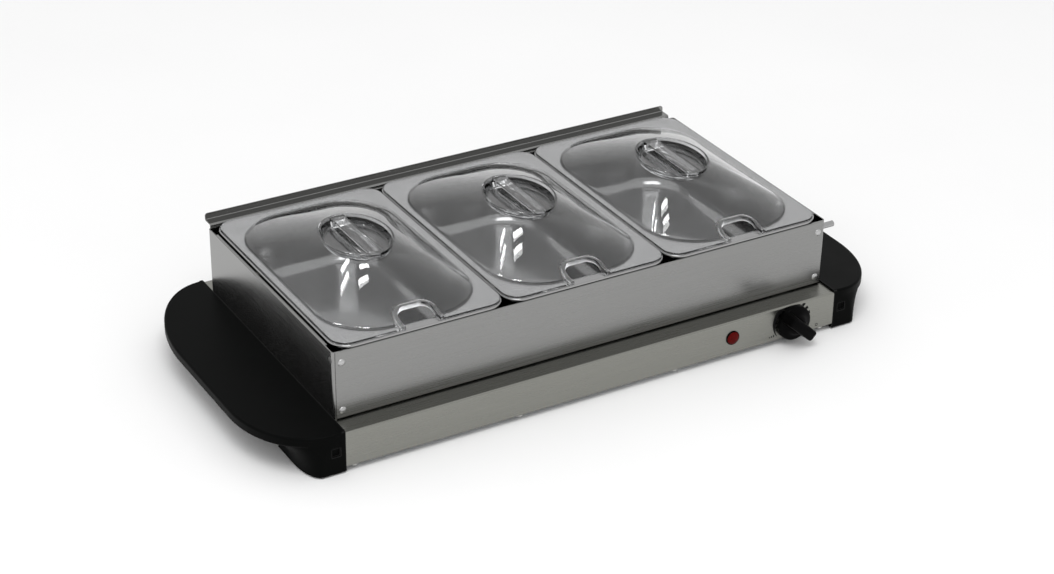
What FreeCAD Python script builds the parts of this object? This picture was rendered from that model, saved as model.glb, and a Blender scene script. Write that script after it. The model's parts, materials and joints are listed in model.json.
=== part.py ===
"""Electric buffet server: a warming base, a lift-off frame, three pans and three clear lids.

Millimetres. +X runs along the long side to the right, +Y to the rear, +Z up.
The origin is on the table, under the middle of the whole server's bounding box.
"""
import FreeCAD, Part
import math
import os
import Sketcher
from FreeCAD import Placement, Rotation, Vector

# Driving dimensions: name, value, what it is.
DIMENSIONS = (
    ("base_length", 500, "steel housing of the base, along X"),
    ("base_depth", 298, "steel housing of the base, along Y"),
    ("base_height", 34, "steel housing of the base, along Z"),
    ("ground_gap", 5, "air under the housing"),
    ("sheet_gauge", 1, "all folded steel sheet"),
    ("fold_radius", 2, "outside radius of the housing's folds"),
    ("hem_width", 10, "inward lip along the housing's lower edges"),
    ("cover_inset", 3, "bottom cover, in from the housing"),
    ("handle_reach", 68, "handle, out from the housing's end"),
    ("handle_thickness", 8, "wing of the handle"),
    ("handle_rise", 2, "wing above the housing at its root"),
    ("handle_fall", 5, "wing's slope from root to edge"),
    ("handle_wall", 3, "wall of the handle that closes the housing's end"),
    ("corner_width", 60, "elliptical corner of the wing, along X"),
    ("front_corner", 85, "front corner of the wing, along Y"),
    ("rear_corner", 108, "rear corner of the wing, along Y"),
    ("leg_gap", 1.5, "air under the leg, taken up by its rubber foot"),
    ("foot_width", 16, "diameter of a rubber foot"),
    ("foot_recess", 3, "depth of the recess that holds the foot"),
    ("frame_depth", 256, "pan frame, along Y"),
    ("frame_height", 65, "pan frame, above the housing"),
    ("front_length", 495, "front and rear panels, along X"),
    ("side_bend", 2.5, "outside radius of the side panels' bends"),
    ("panel_lift", 1.6, "front and rear panels, clear of the housing"),
    ("hem_depth", 9, "folded hem along the frame's top edges, which carries the pans"),
    ("corner_flange", 16, "flange of a side panel behind the front panel"),
    ("flange_relief", 4, "those flanges, clear of the housing"),
    ("rivet_shank", 3, "diameter"),
    ("rivet_head", 6.6, "diameter"),
    ("rivet_inset", 5.5, "rivets, in from the ends of the front panel"),
    ("rivet_low", 8.5, "lower rivets, above the housing"),
    ("rivet_high", 54.5, "upper rivets, above the housing"),
    ("rail_depth", 12, "lid rail, rearward of the rear panel"),
    ("rail_step", 3, "lid rail's shelf above the frame's top"),
    ("rail_bend", 1.8, "outside radius of the lid rail's bends"),
    ("rail_lip", 5.9, "upturned lip of the lid rail"),
    ("rail_drop", 7, "leg of the lid rail, below the frame's top"),
    ("rail_short", 3, "lid rail, short of the rear panel's right end"),
    ("rod_diameter", 5.5, "stiffener rod"),
    ("rod_drop", 8.2, "rod's centre below the frame's top"),
    ("rod_setback", 5.2, "rod's centre behind the frame's front"),
    ("rod_overhang", 12, "rod's free end beyond the right panel"),
    ("pan_pitch", 164, "from one pan to the next"),
    ("pan_width", 163.2, "pan over its rim, along X"),
    ("pan_length", 253.6, "pan over its rim, along Y"),
    ("rim_corner", 17, "corner radius of the pan's rim"),
    ("rim_height", 2.5, "rolled edge of the pan"),
    ("rim_roll", 2, "width of the rolled edge"),
    ("opening_width", 143, "pan's mouth, along X"),
    ("opening_length", 232, "pan's mouth, along Y"),
    ("opening_corner", 50, "corner radius of the pan's mouth"),
    ("pan_depth", 57, "from the rim's top to the pan's floor"),
    ("pan_draft", 8, "slope of the pan's walls, degrees"),
    ("pan_fillet", 12, "between the pan's walls and floor"),
    ("mouth_fillet", 1.8, "between the pan's rim and walls"),
    ("lid_inset", 1.2, "lid's edge, in from the pan's edge"),
    ("lid_gauge", 1.8, "clear plastic of the lid"),
    ("lid_rise", 24, "crown of the lid above its flange"),
    ("grip_width", 63, "oval grip of the lid, along X"),
    ("grip_length", 84, "oval grip of the lid, along Y"),
    ("grip_top", 31.5, "grip's top above the frame's top"),
    ("grip_depth", 8, "finger wells of the grip"),
    ("grip_bar", 14, "bar between the finger wells"),
    ("notch_width", 32, "spoon notch in the lid's front edge"),
    ("notch_length", 22.5, "spoon notch, in from the lid's front edge"),
    ("notch_corner", 9, "inner corners of the spoon notch"),
    ("notch_border", 4.5, "raised border of the spoon notch"),
    ("knob_x", 203, "knob's axis"),
    ("knob_diameter", 34, "skirt of the knob"),
    ("knob_skirt", 5.5, "thickness of the skirt"),
    ("knob_gap", 1, "between the knob and the fascia"),
    ("knob_reach", 20, "knob's grip, out from the fascia"),
    ("knob_bar", 10.8, "width of the knob's grip"),
    ("knob_off_angle", 42.5, "pointer's fall below the horizontal at off, degrees"),
    ("shaft_diameter", 6, "thermostat shaft"),
    ("shaft_clearance", 0.05, "shaft in its bush, radial"),
    ("bush_diameter", 9.6, "bush of the thermostat"),
    ("lamp_x", 138, "pilot lamp's axis"),
    ("lamp_diameter", 13.8, "bezel of the pilot lamp"),
    ("lens_diameter", 12.4, "lens of the pilot lamp"),
    ("inlet_x", 150, "appliance inlet on the rear wall"),
    ("spreader_length", 380, "aluminium plate that spreads the heat, along X"),
    ("spreader_depth", 200, "the same plate, along Y"),
    ("spreader_gauge", 3, "the same plate, thickness"),
    ("element_diameter", 6.5, "tubular heating element"),
    ("element_bend", 32, "bend radius of the element's centre line"),
    ("element_run", 320, "straight runs of the element"),
    ("shield_level", 20, "heat shield's underside above the table"),
    ("shield_depth", 206, "heat shield, along Y"),
    ("shield_length", 390, "heat shield, along X"),
    ("wire_diameter", 2.4, "insulated wire"),
)


# Fixed sizes of folded, bought-in and moulded details.
HEM_ROUND = 0.8
SIDE_HEM_SHEETS = 3
HOLE_CLEARANCE = 0.4
SCREW_SHANK = 3.5
SCREW_HEAD = 7
SCREW_HEAD_HEIGHT = 1.8
SCREW_REACH = 12
SHORT_SCREW_REACH = 6
SCREW_SPREAD = 11
INLET_MOUTH = (28, 20)
INLET_FLANGE = (50, 26)
INLET_PROUD = 3
INLET_HEAD = 1.5
INLET_DEPTH = 22
INLET_SOCKET = 17
INLET_SCREW_SPREAD = 20
INLET_SCREW_REACH = 9
INLET_CORNER = 4
INLET_WALL = 2
INLET_PINS = ((-7, -2), (0, 3), (7, -2))
PIN_WIDTH = 4
PIN_HEIGHT = 2
EARTH_OFFSET = 45
EARTH_END = 139
EARTH_SCREW = (2, 10)
LIP_SCREW_INSET = (10, 7)
TAB_SIZE = (20, 22, 12)
TAB_PLACE = 135
SLOT_WIDTH = 6
SLOT_LENGTH = 90
SLOT_COUNT = 9
LEG_FOOT = (21, 13, 32)
LEG_BACK = 30
LEG_STEPS = 4
LEG_FLARE = 3
LEG_MARK = (5, 8)
WING_EDGE = 2
WALL_SINK = 0.5
FOOT_INSET = (14, 18)
CLIP_WIDTH = 10
CLIP_SPREAD = 9
CLIP_TAB = 4
CLIP_SCREW = 3
CLIP_SCREW_HEAD = (5.5, 1.5)
ELEMENT_TAIL = 40
SHIELD_FOOT = 9
FUSE_PLACE = (176, -62)
FUSE_DIAMETER = 5
FUSE_LENGTH = 16
THERMOSTAT_SIZE = (34, 26, 24)
THERMOSTAT_SCREW_HEAD = (5.5, 1.2)
THERMOSTAT_SCREW_REACH = 8
BUSH_PROUD = 0.8
SHAFT_SINK = 12
SHAFT_NOSE = 6
KNOB_HOLLOW = 3
KNOB_WALL = 2
KNOB_EDGE = 1.2
POINTER_REACH = 0.6
LAMP_PROUD = 1.2
LENS_DOME = 1.2
LENS_ROUND = 1.4
LENS_STEP = 1
LENS_NECK = 5
LAMP_BODY = 20
TERMINAL_WIDTH = 3.2
TERMINAL_LENGTH = 6
WIRE_LEAD = 3
WIRE_LANE = 27
RIVET_PROUD = 1.2
RAIL_CORNER = 2.5
CROWN_STEPS = 5
CROWN_TURN = math.radians(55)
CROWN_TOP = (56, 84, 26)
CROWN_SIDE = 0.4
BORDER_RISE = 2
WELL_DRAFT = 4
NOTCH_OVERRUN = 20
CROWN_SKIRT = 6
TALL = 60
PAN_NAMES = ("left", "middle", "right")
SIDES = (-1, 1)
TO_REAR = Rotation(Vector(1, 0, 0), -90)
TO_RIGHT = Rotation(Vector(0, 1, 0), 90)


class Size:
    """A length worked out from the sheet: its value now, and the expression that keeps it bound."""

    def __init__(self, number, text):
        self.number = number
        self.text = text

    def combine(self, other, sign, number):
        return Size(number, f"({self.text} {sign} {as_size(other).text})")

    def __add__(self, other):
        return self.combine(other, "+", self.number + as_size(other).number)

    def __sub__(self, other):
        return self.combine(other, "-", self.number - as_size(other).number)

    def __mul__(self, other):
        return self.combine(other, "*", self.number * as_size(other).number)

    def __truediv__(self, other):
        return self.combine(other, "/", self.number / as_size(other).number)

    def __neg__(self):
        return Size(-self.number, f"(0 - {self.text})")

    def __radd__(self, other):
        return as_size(other) + self

    def __rsub__(self, other):
        return as_size(other) - self

    def __rmul__(self, other):
        return as_size(other) * self


def as_size(value):
    return value if isinstance(value, Size) else Size(float(value), repr(float(value)))


def make_sheet(doc):
    """Write the driving dimensions and return them by name."""
    sheet = doc.addObject("Spreadsheet::Sheet", "dims")
    sizes = {}
    for row, (alias, value, note) in enumerate(DIMENSIONS, start=1):
        sheet.set(f"A{row}", alias)
        sheet.set(f"B{row}", str(value))
        sheet.set(f"C{row}", note)
        sheet.setAlias(f"B{row}", alias)
        sizes[alias] = Size(float(value), f"dims.{alias}")
    doc.recompute()
    return sizes


doc = FreeCAD.newDocument("buffet_server")
d = make_sheet(doc)
nodes = []
terminals = []

# Places worked out from the driving dimensions. Y is counted from the middle of the housing here;
# finish() moves every sub-part by middle_shift, to the middle between the knob and the inlet.
gauge = d["sheet_gauge"]
end_x = d["base_length"] / 2
front_y = d["base_depth"] / -2
plate_top = d["ground_gap"] + d["base_height"]
plate_under = plate_top - gauge
axis_z = d["ground_gap"] + d["base_height"] / 2
frame_top = plate_top + d["frame_height"]
frame_front = d["frame_depth"] / -2
panel_bottom = plate_top + d["panel_lift"]
panel_end = d["front_length"] / 2
rim_top = frame_top + d["rim_height"]
middle_shift = (d["knob_reach"] - INLET_PROUD - INLET_HEAD) / 2
spreader_under = plate_under - d["spreader_gauge"]
element_z = spreader_under - d["element_diameter"] / 2


# ---------------------------------------------------------------- helpers

def bind(obj, name, value):
    """Set a property from a number, or bind it to the sheet."""
    if isinstance(value, Size):
        obj.setExpression(name, value.text)
    else:
        obj.setExpression(name, repr(float(value)))


def finish(obj, label):
    """Name a finished sub-part, move it to the common origin and list it for export."""
    obj.Label = label
    bound = {path.lstrip("."): text for path, text in obj.ExpressionEngine}
    placed = bound.get("Placement.Base.y", "0")
    obj.setExpression("Placement.Base.y", f"{placed} + {middle_shift.text}")
    nodes.append(obj)
    return obj


def place(obj, x=0, y=0, z=0):
    for axis, value in zip("xyz", (x, y, z)):
        bind(obj, f"Placement.Base.{axis}", value)
    return obj


def new_body(name):
    return doc.addObject("PartDesign::Body", name)


def new_sketch(body, role, offset=0):
    """A sketch on one of the body's own origin planes, moved along the plane's normal."""
    sketch = body.newObject("Sketcher::SketchObject", f"{body.Name}_sketch")
    plane = next(item for item in body.Origin.OriginFeatures if item.Role == role)
    sketch.AttachmentSupport = (plane, [""])
    sketch.MapMode = "FlatFace"
    bind(sketch, "AttachmentOffset.Base.z", offset)
    return sketch


def lock_point(sketch, geometry, vertex, x, y):
    """Hold a vertex at a place measured from the sketch's origin."""
    for kind, value in (("DistanceX", as_size(x)), ("DistanceY", as_size(y))):
        index = sketch.addConstraint(
            Sketcher.Constraint(kind, -1, 1, geometry, vertex, value.number))
        sketch.setExpression(f"Constraints[{index}]", value.text)


def outline(sketch, points):
    """A closed straight-sided outline with every vertex held in place."""
    places = [Vector(as_size(x).number, as_size(y).number, 0) for x, y in points]
    first = sketch.GeometryCount
    count = len(places)
    for index in range(count):
        sketch.addGeometry(Part.LineSegment(places[index], places[(index + 1) % count]))
    for index in range(count):
        following = first + (index + 1) % count
        sketch.addConstraint(Sketcher.Constraint("Coincident", first + index, 2, following, 1))
    for index, (x, y) in enumerate(points):
        lock_point(sketch, first + index, 1, x, y)


def rectangle(sketch, left, low, right, high):
    outline(sketch, [(left, low), (right, low), (right, high), (left, high)])


def circle(sketch, x, y, diameter):
    size = as_size(diameter)
    centre = Vector(as_size(x).number, as_size(y).number, 0)
    index = sketch.addGeometry(Part.Circle(centre, Vector(0, 0, 1), size.number / 2))
    lock_point(sketch, index, 3, x, y)
    bound = sketch.addConstraint(Sketcher.Constraint("Diameter", index, size.number))
    sketch.setExpression(f"Constraints[{bound}]", size.text)


def rounded_rectangle(sketch, x, y, width, length, radius):
    """Four sides and four corner arcs, tangent where they meet."""
    middle_x, middle_y, radius = as_size(x), as_size(y), as_size(radius)
    half_x, half_y = as_size(width) / 2 - radius, as_size(length) / 2 - radius
    corners = [(1, -1), (1, 1), (-1, 1), (-1, -1)]
    first = sketch.GeometryCount
    centres = []
    for index, (side_x, side_y) in enumerate(corners):
        centre = (middle_x + half_x * side_x, middle_y + half_y * side_y)
        point = Vector(centre[0].number, centre[1].number, 0)
        ring = Part.Circle(point, Vector(0, 0, 1), radius.number)
        start = (index - 1) * math.pi / 2
        sketch.addGeometry(Part.ArcOfCircle(ring, start, start + math.pi / 2))
        centres.append(centre)
    arcs = [sketch.Geometry[first + index] for index in range(4)]
    for index in range(4):
        sketch.addGeometry(Part.LineSegment(arcs[index].EndPoint, arcs[(index + 1) % 4].StartPoint))
    for index in range(4):
        arc, side, following = first + index, first + 4 + index, first + (index + 1) % 4
        sketch.addConstraint(Sketcher.Constraint("Tangent", arc, 2, side, 1))
        sketch.addConstraint(Sketcher.Constraint("Tangent", side, 2, following, 1))
        lock_point(sketch, arc, 3, *centres[index])
    bound = sketch.addConstraint(Sketcher.Constraint("Radius", first, radius.number))
    sketch.setExpression(f"Constraints[{bound}]", radius.text)


def pad(body, sketch, length, symmetric=False, backward=False, taper=0):
    feature = body.newObject("PartDesign::Pad", f"{body.Name}_pad")
    feature.Profile = sketch
    feature.SideType = "Symmetric" if symmetric else "One side"
    feature.Reversed = backward
    bind(feature, "Length", length)
    bind(feature, "TaperAngle", taper)
    sketch.Visibility = False
    doc.recompute()
    return feature


def pocket(body, sketch, length, symmetric=False, backward=False, taper=0):
    """Cut a sketch out of the body, and make sure that it removed something."""
    before = body.Shape.Volume
    feature = body.newObject("PartDesign::Pocket", f"{body.Name}_pocket")
    feature.Profile = sketch
    feature.SideType = "Symmetric" if symmetric else "One side"
    feature.Reversed = backward
    bind(feature, "Length", length)
    bind(feature, "TaperAngle", taper)
    doc.recompute()
    if body.Shape.Volume > before - 0.1:
        raise RuntimeError(f"{feature.Name} cuts nothing")
    return feature


def nearest_edges(shape, places):
    """Names of the edges whose middles lie nearest to the given places."""
    names = []
    for place_x, place_y, place_z in places:
        target = Vector(*[as_size(value).number for value in (place_x, place_y, place_z)])
        gaps = [(edge.CenterOfMass - target).Length for edge in shape.Edges]
        names.append(f"Edge{gaps.index(min(gaps)) + 1}")
    return sorted(set(names))


def fillet(body, radius, places):
    feature = body.newObject("PartDesign::Fillet", f"{body.Name}_fillet")
    base = feature.BaseFeature if feature.BaseFeature else body.Tip
    feature.Base = (base, nearest_edges(base.Shape, places))
    bind(feature, "Radius", radius)
    doc.recompute()
    return feature


def fillet_level(body, radius, level, depth_limit=1000):
    """Round every edge that lies flat at one height, no further than a limit from the middle."""
    feature = body.newObject("PartDesign::Fillet", f"{body.Name}_fillet")
    base = feature.BaseFeature
    names = []
    for index, edge in enumerate(base.Shape.Edges, start=1):
        extent = edge.BoundBox
        flat = max(abs(extent.ZMin - level.number), abs(extent.ZMax - level.number)) < 0.01
        if flat and max(abs(extent.YMin), abs(extent.YMax)) < as_size(depth_limit).number:
            names.append(f"Edge{index}")
    feature.Base = (base, names)
    bind(feature, "Radius", radius)
    doc.recompute()
    return feature


def box(name, x, y, z, width, depth, height):
    """A Part::Box from its lowest corner and its size."""
    item = doc.addObject("Part::Box", name)
    bind(item, "Length", width)
    bind(item, "Width", depth)
    bind(item, "Height", height)
    return place(item, x, y, z)


def cylinder(name, diameter, height, x, y, z, rotation=Rotation()):
    item = doc.addObject("Part::Cylinder", name)
    bind(item, "Radius", as_size(diameter) / 2)
    bind(item, "Height", height)
    item.Placement = Placement(Vector(), rotation)
    return place(item, x, y, z)


def cut(name, base, tool):
    item = doc.addObject("Part::Cut", name)
    item.Base, item.Tool = base, tool
    return item


def fuse(name, shapes):
    item = doc.addObject("Part::MultiFuse", name)
    item.Shapes = shapes
    return item


def group(name, shapes):
    """Separate solids of one kind that share a node."""
    item = doc.addObject("Part::Compound", name)
    item.Links = shapes
    return finish(item, name)


# ---------------------------------------------------------------- base

def lip_screws():
    """Screw places along both lower lips; the end ones also hold the handles."""
    far_x, row = end_x.number - LIP_SCREW_INSET[0], -front_y.number - LIP_SCREW_INSET[1]
    return [(share * far_x, side * row) for share in (-1, -1 / 3, 1 / 3, 1) for side in SIDES]


def holds_handle(x):
    return abs(x) > end_x.number - TAB_SIZE[0]


def make_housing():
    """One folded sheet: fascia, top plate and rear wall, with a lip along each lower edge."""
    body = new_body("base_housing")
    low, high = d["ground_gap"], plate_top
    inner_y = front_y + gauge
    hem_y = front_y + d["hem_width"]
    profile = new_sketch(body, "YZ_Plane")
    outline(profile, [
        (front_y, low), (front_y, high), (-front_y, high), (-front_y, low),
        (-hem_y, low), (-hem_y, low + gauge), (-inner_y, low + gauge), (-inner_y, plate_under),
        (inner_y, plate_under), (inner_y, low + gauge), (hem_y, low + gauge), (hem_y, low)])
    pad(body, profile, d["base_length"], symmetric=True)
    outer = [(0, side * front_y, level) for side in SIDES for level in (low, high)]
    inner = [(0, side * inner_y, level) for side in SIDES for level in (low + gauge, plate_under)]
    fillet(body, d["fold_radius"], outer)
    fillet(body, d["fold_radius"] - gauge, inner)
    front_holes = new_sketch(body, "XZ_Plane", -front_y)
    circle(front_holes, d["knob_x"], axis_z, d["bush_diameter"] + HOLE_CLEARANCE)
    circle(front_holes, d["lamp_x"], axis_z, d["lens_diameter"] - LENS_STEP)
    for side in SIDES:
        circle(front_holes, d["knob_x"] + side * SCREW_SPREAD, axis_z, SCREW_SHANK)
    pocket(body, front_holes, gauge)
    rear_holes = new_sketch(body, "XZ_Plane", front_y)
    half_x, half_z = INLET_MOUTH[0] / 2, INLET_MOUTH[1] / 2
    rectangle(rear_holes, d["inlet_x"] - half_x, axis_z - half_z, d["inlet_x"] + half_x, axis_z + half_z)
    for side in SIDES:
        circle(rear_holes, d["inlet_x"] + side * INLET_SCREW_SPREAD, axis_z, SCREW_SHANK)
    circle(rear_holes, d["inlet_x"] - EARTH_OFFSET, axis_z, SCREW_SHANK)
    pocket(body, rear_holes, gauge, backward=True)
    lip_holes = new_sketch(body, "XY_Plane", low)
    for x, y in lip_screws():
        circle(lip_holes, x, y, SCREW_SHANK)
    pocket(body, lip_holes, gauge, backward=True)
    finish(body, "base_housing")


def make_bottom_cover():
    """A flat cover under the lips, with a row of cooling slots and its screw holes."""
    body = new_body("bottom_cover")
    half_x, half_y = end_x - d["cover_inset"], -front_y - d["cover_inset"]
    plate = new_sketch(body, "XY_Plane", d["ground_gap"] - gauge)
    rectangle(plate, -half_x, -half_y, half_x, half_y)
    pad(body, plate, gauge)
    holes = new_sketch(body, "XY_Plane", d["ground_gap"] - gauge)
    for x, y in lip_screws():
        circle(holes, x, y, SCREW_SHANK)
    pocket(body, holes, gauge, backward=True)
    slots = new_sketch(body, "XY_Plane", d["ground_gap"] - gauge)
    first_x = end_x / -2
    rectangle(slots, first_x, -SLOT_LENGTH / 2, first_x + SLOT_WIDTH, SLOT_LENGTH / 2)
    first_slot = pocket(body, slots, gauge, backward=True)
    pattern = body.newObject("PartDesign::LinearPattern", "cooling_slots")
    pattern.Originals = [first_slot]
    pattern.Direction = (slots, ["H_Axis"])
    bind(pattern, "Length", end_x)
    pattern.Occurrences = SLOT_COUNT
    body.Tip = pattern
    finish(body, "bottom_cover")


def quarter_ellipse(centre, along, across):
    """A quarter of an ellipse, from one end of its long axis to one end of its short axis."""
    curve = Part.Ellipse(centre + along, centre + across, centre)
    return Part.ArcOfEllipse(curve, 0, math.pi / 2).toShape()


def wing_outline():
    """Plan of the right-hand wing: a straight outer edge between two elliptical corners."""
    root, tip = end_x.number, (end_x + d["handle_reach"]).number
    front, rear, wide = front_y.number, -front_y.number, d["corner_width"].number
    turn_x = tip - wide
    front_turn = front + d["front_corner"].number
    rear_turn = rear - d["rear_corner"].number
    across = Vector(wide, 0, 0)
    edges = [
        quarter_ellipse(Vector(turn_x, front_turn, 0), Vector(0, front - front_turn, 0), across),
        quarter_ellipse(Vector(turn_x, rear_turn, 0), Vector(0, rear - rear_turn, 0), across),
        Part.makeLine(Vector(root, front, 0), Vector(turn_x, front, 0)),
        Part.makeLine(Vector(tip, front_turn, 0), Vector(tip, rear_turn, 0)),
        Part.makeLine(Vector(turn_x, rear, 0), Vector(root, rear, 0)),
        Part.makeLine(Vector(root, rear, 0), Vector(root, front, 0))]
    return Part.Face(Part.Wire(Part.__sortEdges__(edges)))


def leg_section(level, share, side):
    """Plan of a leg at one height, from its foot at share 0 to the wing's own corner at share 1."""
    root, outer_y = end_x.number, side * -front_y.number
    corner = (d["front_corner"] if side < 0 else d["rear_corner"]).number
    wide = d["corner_width"].number
    head = (d["handle_reach"].number - wide, wide - 1, corner - 1)
    straight, turn, depth = [foot + (top - foot) * share for foot, top in zip(LEG_FOOT, head)]
    turn_x, turn_y = root + straight, outer_y - side * depth
    inner_y = turn_y - side * LEG_BACK * (1 - share / 2)
    far = turn_x + turn
    curve = quarter_ellipse(Vector(turn_x, turn_y, level), Vector(0, side * depth, 0), Vector(turn, 0, 0))
    return Part.Wire([
        Part.makeLine(Vector(root, outer_y, level), Vector(turn_x, outer_y, level)),
        curve,
        Part.makeLine(Vector(far, turn_y, level), Vector(far, inner_y, level)),
        Part.makeLine(Vector(far, inner_y, level), Vector(root, inner_y, level)),
        Part.makeLine(Vector(root, inner_y, level), Vector(root, outer_y, level))])


def wing_shape(crest):
    """The sloping slab of the wing, its upper edge rounded."""
    root, tip = end_x.number, (end_x + d["handle_reach"]).number
    edge_top = crest - d["handle_fall"].number
    thick, front = d["handle_thickness"].number, front_y.number
    section = Part.makePolygon([
        Vector(root, front, crest), Vector(tip, front, edge_top),
        Vector(tip, front, edge_top - thick), Vector(root, front, crest - thick),
        Vector(root, front, crest)])
    slab = Part.Face(section).extrude(Vector(0, -2 * front, 0))
    wing = slab.common(wing_outline().extrude(Vector(0, 0, crest)))
    top = max(wing.Faces, key=lambda face: face.CenterOfMass.z)
    rounded = [edge for edge in top.Edges if edge.BoundBox.XMax > root + 1]
    return wing.makeFillet(WING_EDGE, rounded)


def right_handle_shape():
    """A sloping wing on two flared legs, with a wall and two tabs that fit the housing's end."""
    root = end_x.number
    crest = (plate_top + d["handle_rise"]).number
    head = crest - d["handle_fall"].number - WING_EDGE - 1
    front, low = front_y.number, d["leg_gap"].number
    shape = wing_shape(crest)
    for side in SIDES:
        sections = []
        for step in range(LEG_STEPS + 1):
            share = step / LEG_STEPS
            sections.append(leg_section(low + (head - low) * share, share ** LEG_FLARE, side))
        leg = Part.makeLoft(sections, True)
        tab_y = side * TAB_PLACE - TAB_SIZE[1] / 2
        tab_z = (d["ground_gap"] + gauge).number
        tab = Part.makeBox(TAB_SIZE[0] + 1, TAB_SIZE[1], TAB_SIZE[2],
                           Vector(root - TAB_SIZE[0], tab_y, tab_z))
        shape = shape.fuse([leg, tab])
    wall_low = d["ground_gap"].number
    wall = Part.makeBox(d["handle_wall"].number, -2 * front, crest - WALL_SINK - wall_low,
                        Vector(root, front, wall_low))
    shape = shape.fuse(wall)
    for x, y in foot_places():
        if x > 0:
            shape = shape.cut(Part.makeCylinder(d["foot_width"].number / 2, d["foot_recess"].number,
                                                Vector(x, y, low)))
    for x, y in lip_screws():
        if x > 0 and holds_handle(x):
            hole = Part.makeCylinder(SCREW_SHANK / 2, 2 * SCREW_REACH, Vector(x, y, 0))
            shape = shape.cut(hole)
    inset, size = LEG_MARK
    notch = Part.makeBox(size, 2, size, Vector(root + inset, front, axis_z.number - size / 2))
    return shape.cut(notch).removeSplitter()


def make_handles():
    right = doc.addObject("Part::Feature", "right_handle")
    right.Shape = right_handle_shape()
    finish(right, "right_handle")
    pattern = doc.addObject("Part::Feature", "handle_pattern")
    pattern.Shape = right.Shape
    left = doc.addObject("Part::Mirroring", "left_handle")
    left.Source = pattern
    left.Normal = Vector(1, 0, 0)
    finish(left, "left_handle")


def foot_places():
    offset_x, offset_y = end_x.number + FOOT_INSET[0], -front_y.number - FOOT_INSET[1]
    return [(side_x * offset_x, side_y * offset_y) for side_x in SIDES for side_y in SIDES]


def make_feet():
    height = d["leg_gap"] + d["foot_recess"]
    feet = [cylinder("foot", d["foot_width"], height, x, y, 0) for x, y in foot_places()]
    group("rubber_feet", feet)


def make_cover_screws():
    """Pan-head screws through the cover and the lips; the end ones also hold the handles."""
    for name, chosen in (("handle_screws", True), ("cover_screws", False)):
        screws = []
        for x, y in lip_screws():
            if holds_handle(x) != chosen:
                continue
            under = d["ground_gap"] - gauge
            reach = SCREW_REACH if chosen else SHORT_SCREW_REACH
            head = cylinder("head", SCREW_HEAD, SCREW_HEAD_HEIGHT, x, y, under - SCREW_HEAD_HEIGHT)
            shank = cylinder("shank", SCREW_SHANK, reach, x, y, under)
            screws.append(fuse("screw", [head, shank]))
        group(name, screws)


# ---------------------------------------------------------------- heating

def make_heat_spreader():
    body = new_body("heat_spreader")
    half_x, half_y = d["spreader_length"] / 2, d["spreader_depth"] / 2
    plate = new_sketch(body, "XY_Plane", spreader_under)
    rectangle(plate, -half_x, -half_y, half_x, half_y)
    pad(body, plate, d["spreader_gauge"])
    holes = new_sketch(body, "XY_Plane", spreader_under)
    for x, y in clip_places():
        for side in SIDES:
            circle(holes, x, y + side * CLIP_SPREAD, CLIP_SCREW)
    pocket(body, holes, d["spreader_gauge"] - 1, backward=True)
    finish(body, "heat_spreader")


def clip_places():
    half_run, row = d["element_run"].number / 4, d["element_bend"].number
    return [(x * half_run, y * row) for x in SIDES for y in SIDES]


def make_heating_element():
    """A sheathed tube bent into a long U, its cold ends to the right."""
    body = new_body("heating_element")
    half_run, row = d["element_run"] / 2, d["element_bend"]
    path = new_sketch(body, "XY_Plane", element_z)
    tail = half_run + ELEMENT_TAIL
    left, right = -half_run.number, tail.number
    low, high = -row.number, row.number
    path.addGeometry(Part.LineSegment(Vector(right, low, 0), Vector(left, low, 0)))
    ring = Part.Circle(Vector(left, 0, 0), Vector(0, 0, 1), row.number)
    path.addGeometry(Part.ArcOfCircle(ring, math.pi / 2, 3 * math.pi / 2))
    path.addGeometry(Part.LineSegment(Vector(left, high, 0), Vector(right, high, 0)))
    path.addConstraint(Sketcher.Constraint("Tangent", 0, 2, 1, 2))
    path.addConstraint(Sketcher.Constraint("Tangent", 1, 1, 2, 1))
    lock_point(path, 0, 1, tail, -row)
    lock_point(path, 2, 2, tail, row)
    lock_point(path, 1, 3, -half_run, 0)
    ring_sketch = new_sketch(body, "YZ_Plane", tail)
    circle(ring_sketch, -row, element_z, d["element_diameter"])
    pipe = body.newObject("PartDesign::AdditivePipe", "element_tube")
    pipe.Profile = ring_sketch
    pipe.Spine = (path, [])
    doc.recompute()
    finish(body, "heating_element")


def make_element_clips():
    """Saddle straps that hold the element against the spreader, and their screws."""
    clips, screws = [], []
    radius = d["element_diameter"] / 2
    for x, y in clip_places():
        start = x - CLIP_WIDTH / 2
        strap = box("strap", start, y - CLIP_SPREAD - CLIP_TAB, spreader_under - 1,
                    CLIP_WIDTH, 2 * (CLIP_SPREAD + CLIP_TAB), 1)
        outer = cylinder("saddle", 2 * radius + 2, CLIP_WIDTH, start, y, element_z, TO_RIGHT)
        upper = box("above", start - 1, y - CLIP_SPREAD, spreader_under,
                    CLIP_WIDTH + 2, 2 * CLIP_SPREAD, 6)
        bore = cylinder("bore", 2 * radius, CLIP_WIDTH + 2, start - 1, y, element_z, TO_RIGHT)
        mouth = box("mouth", start - 1, y - radius, element_z, CLIP_WIDTH + 2, 2 * radius, 6)
        solid = cut("clip", fuse("clip_solid", [strap, outer]), fuse("clip_room", [upper, bore, mouth]))
        holes = []
        for side in SIDES:
            place_y = y + side * CLIP_SPREAD
            holes.append(cylinder("hole", CLIP_SCREW, 8, x, place_y, spreader_under - 5))
            head_width, head_height = CLIP_SCREW_HEAD
            head = cylinder("head", head_width, head_height, x, place_y,
                            spreader_under - 1 - head_height)
            shank = cylinder("shank", CLIP_SCREW, 3, x, place_y, spreader_under - 1)
            screws.append(fuse("screw", [head, shank]))
        clips.append(cut("drilled_clip", solid, fuse("holes", holes)))
    group("element_clips", clips)
    group("clip_screws", screws)


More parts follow.
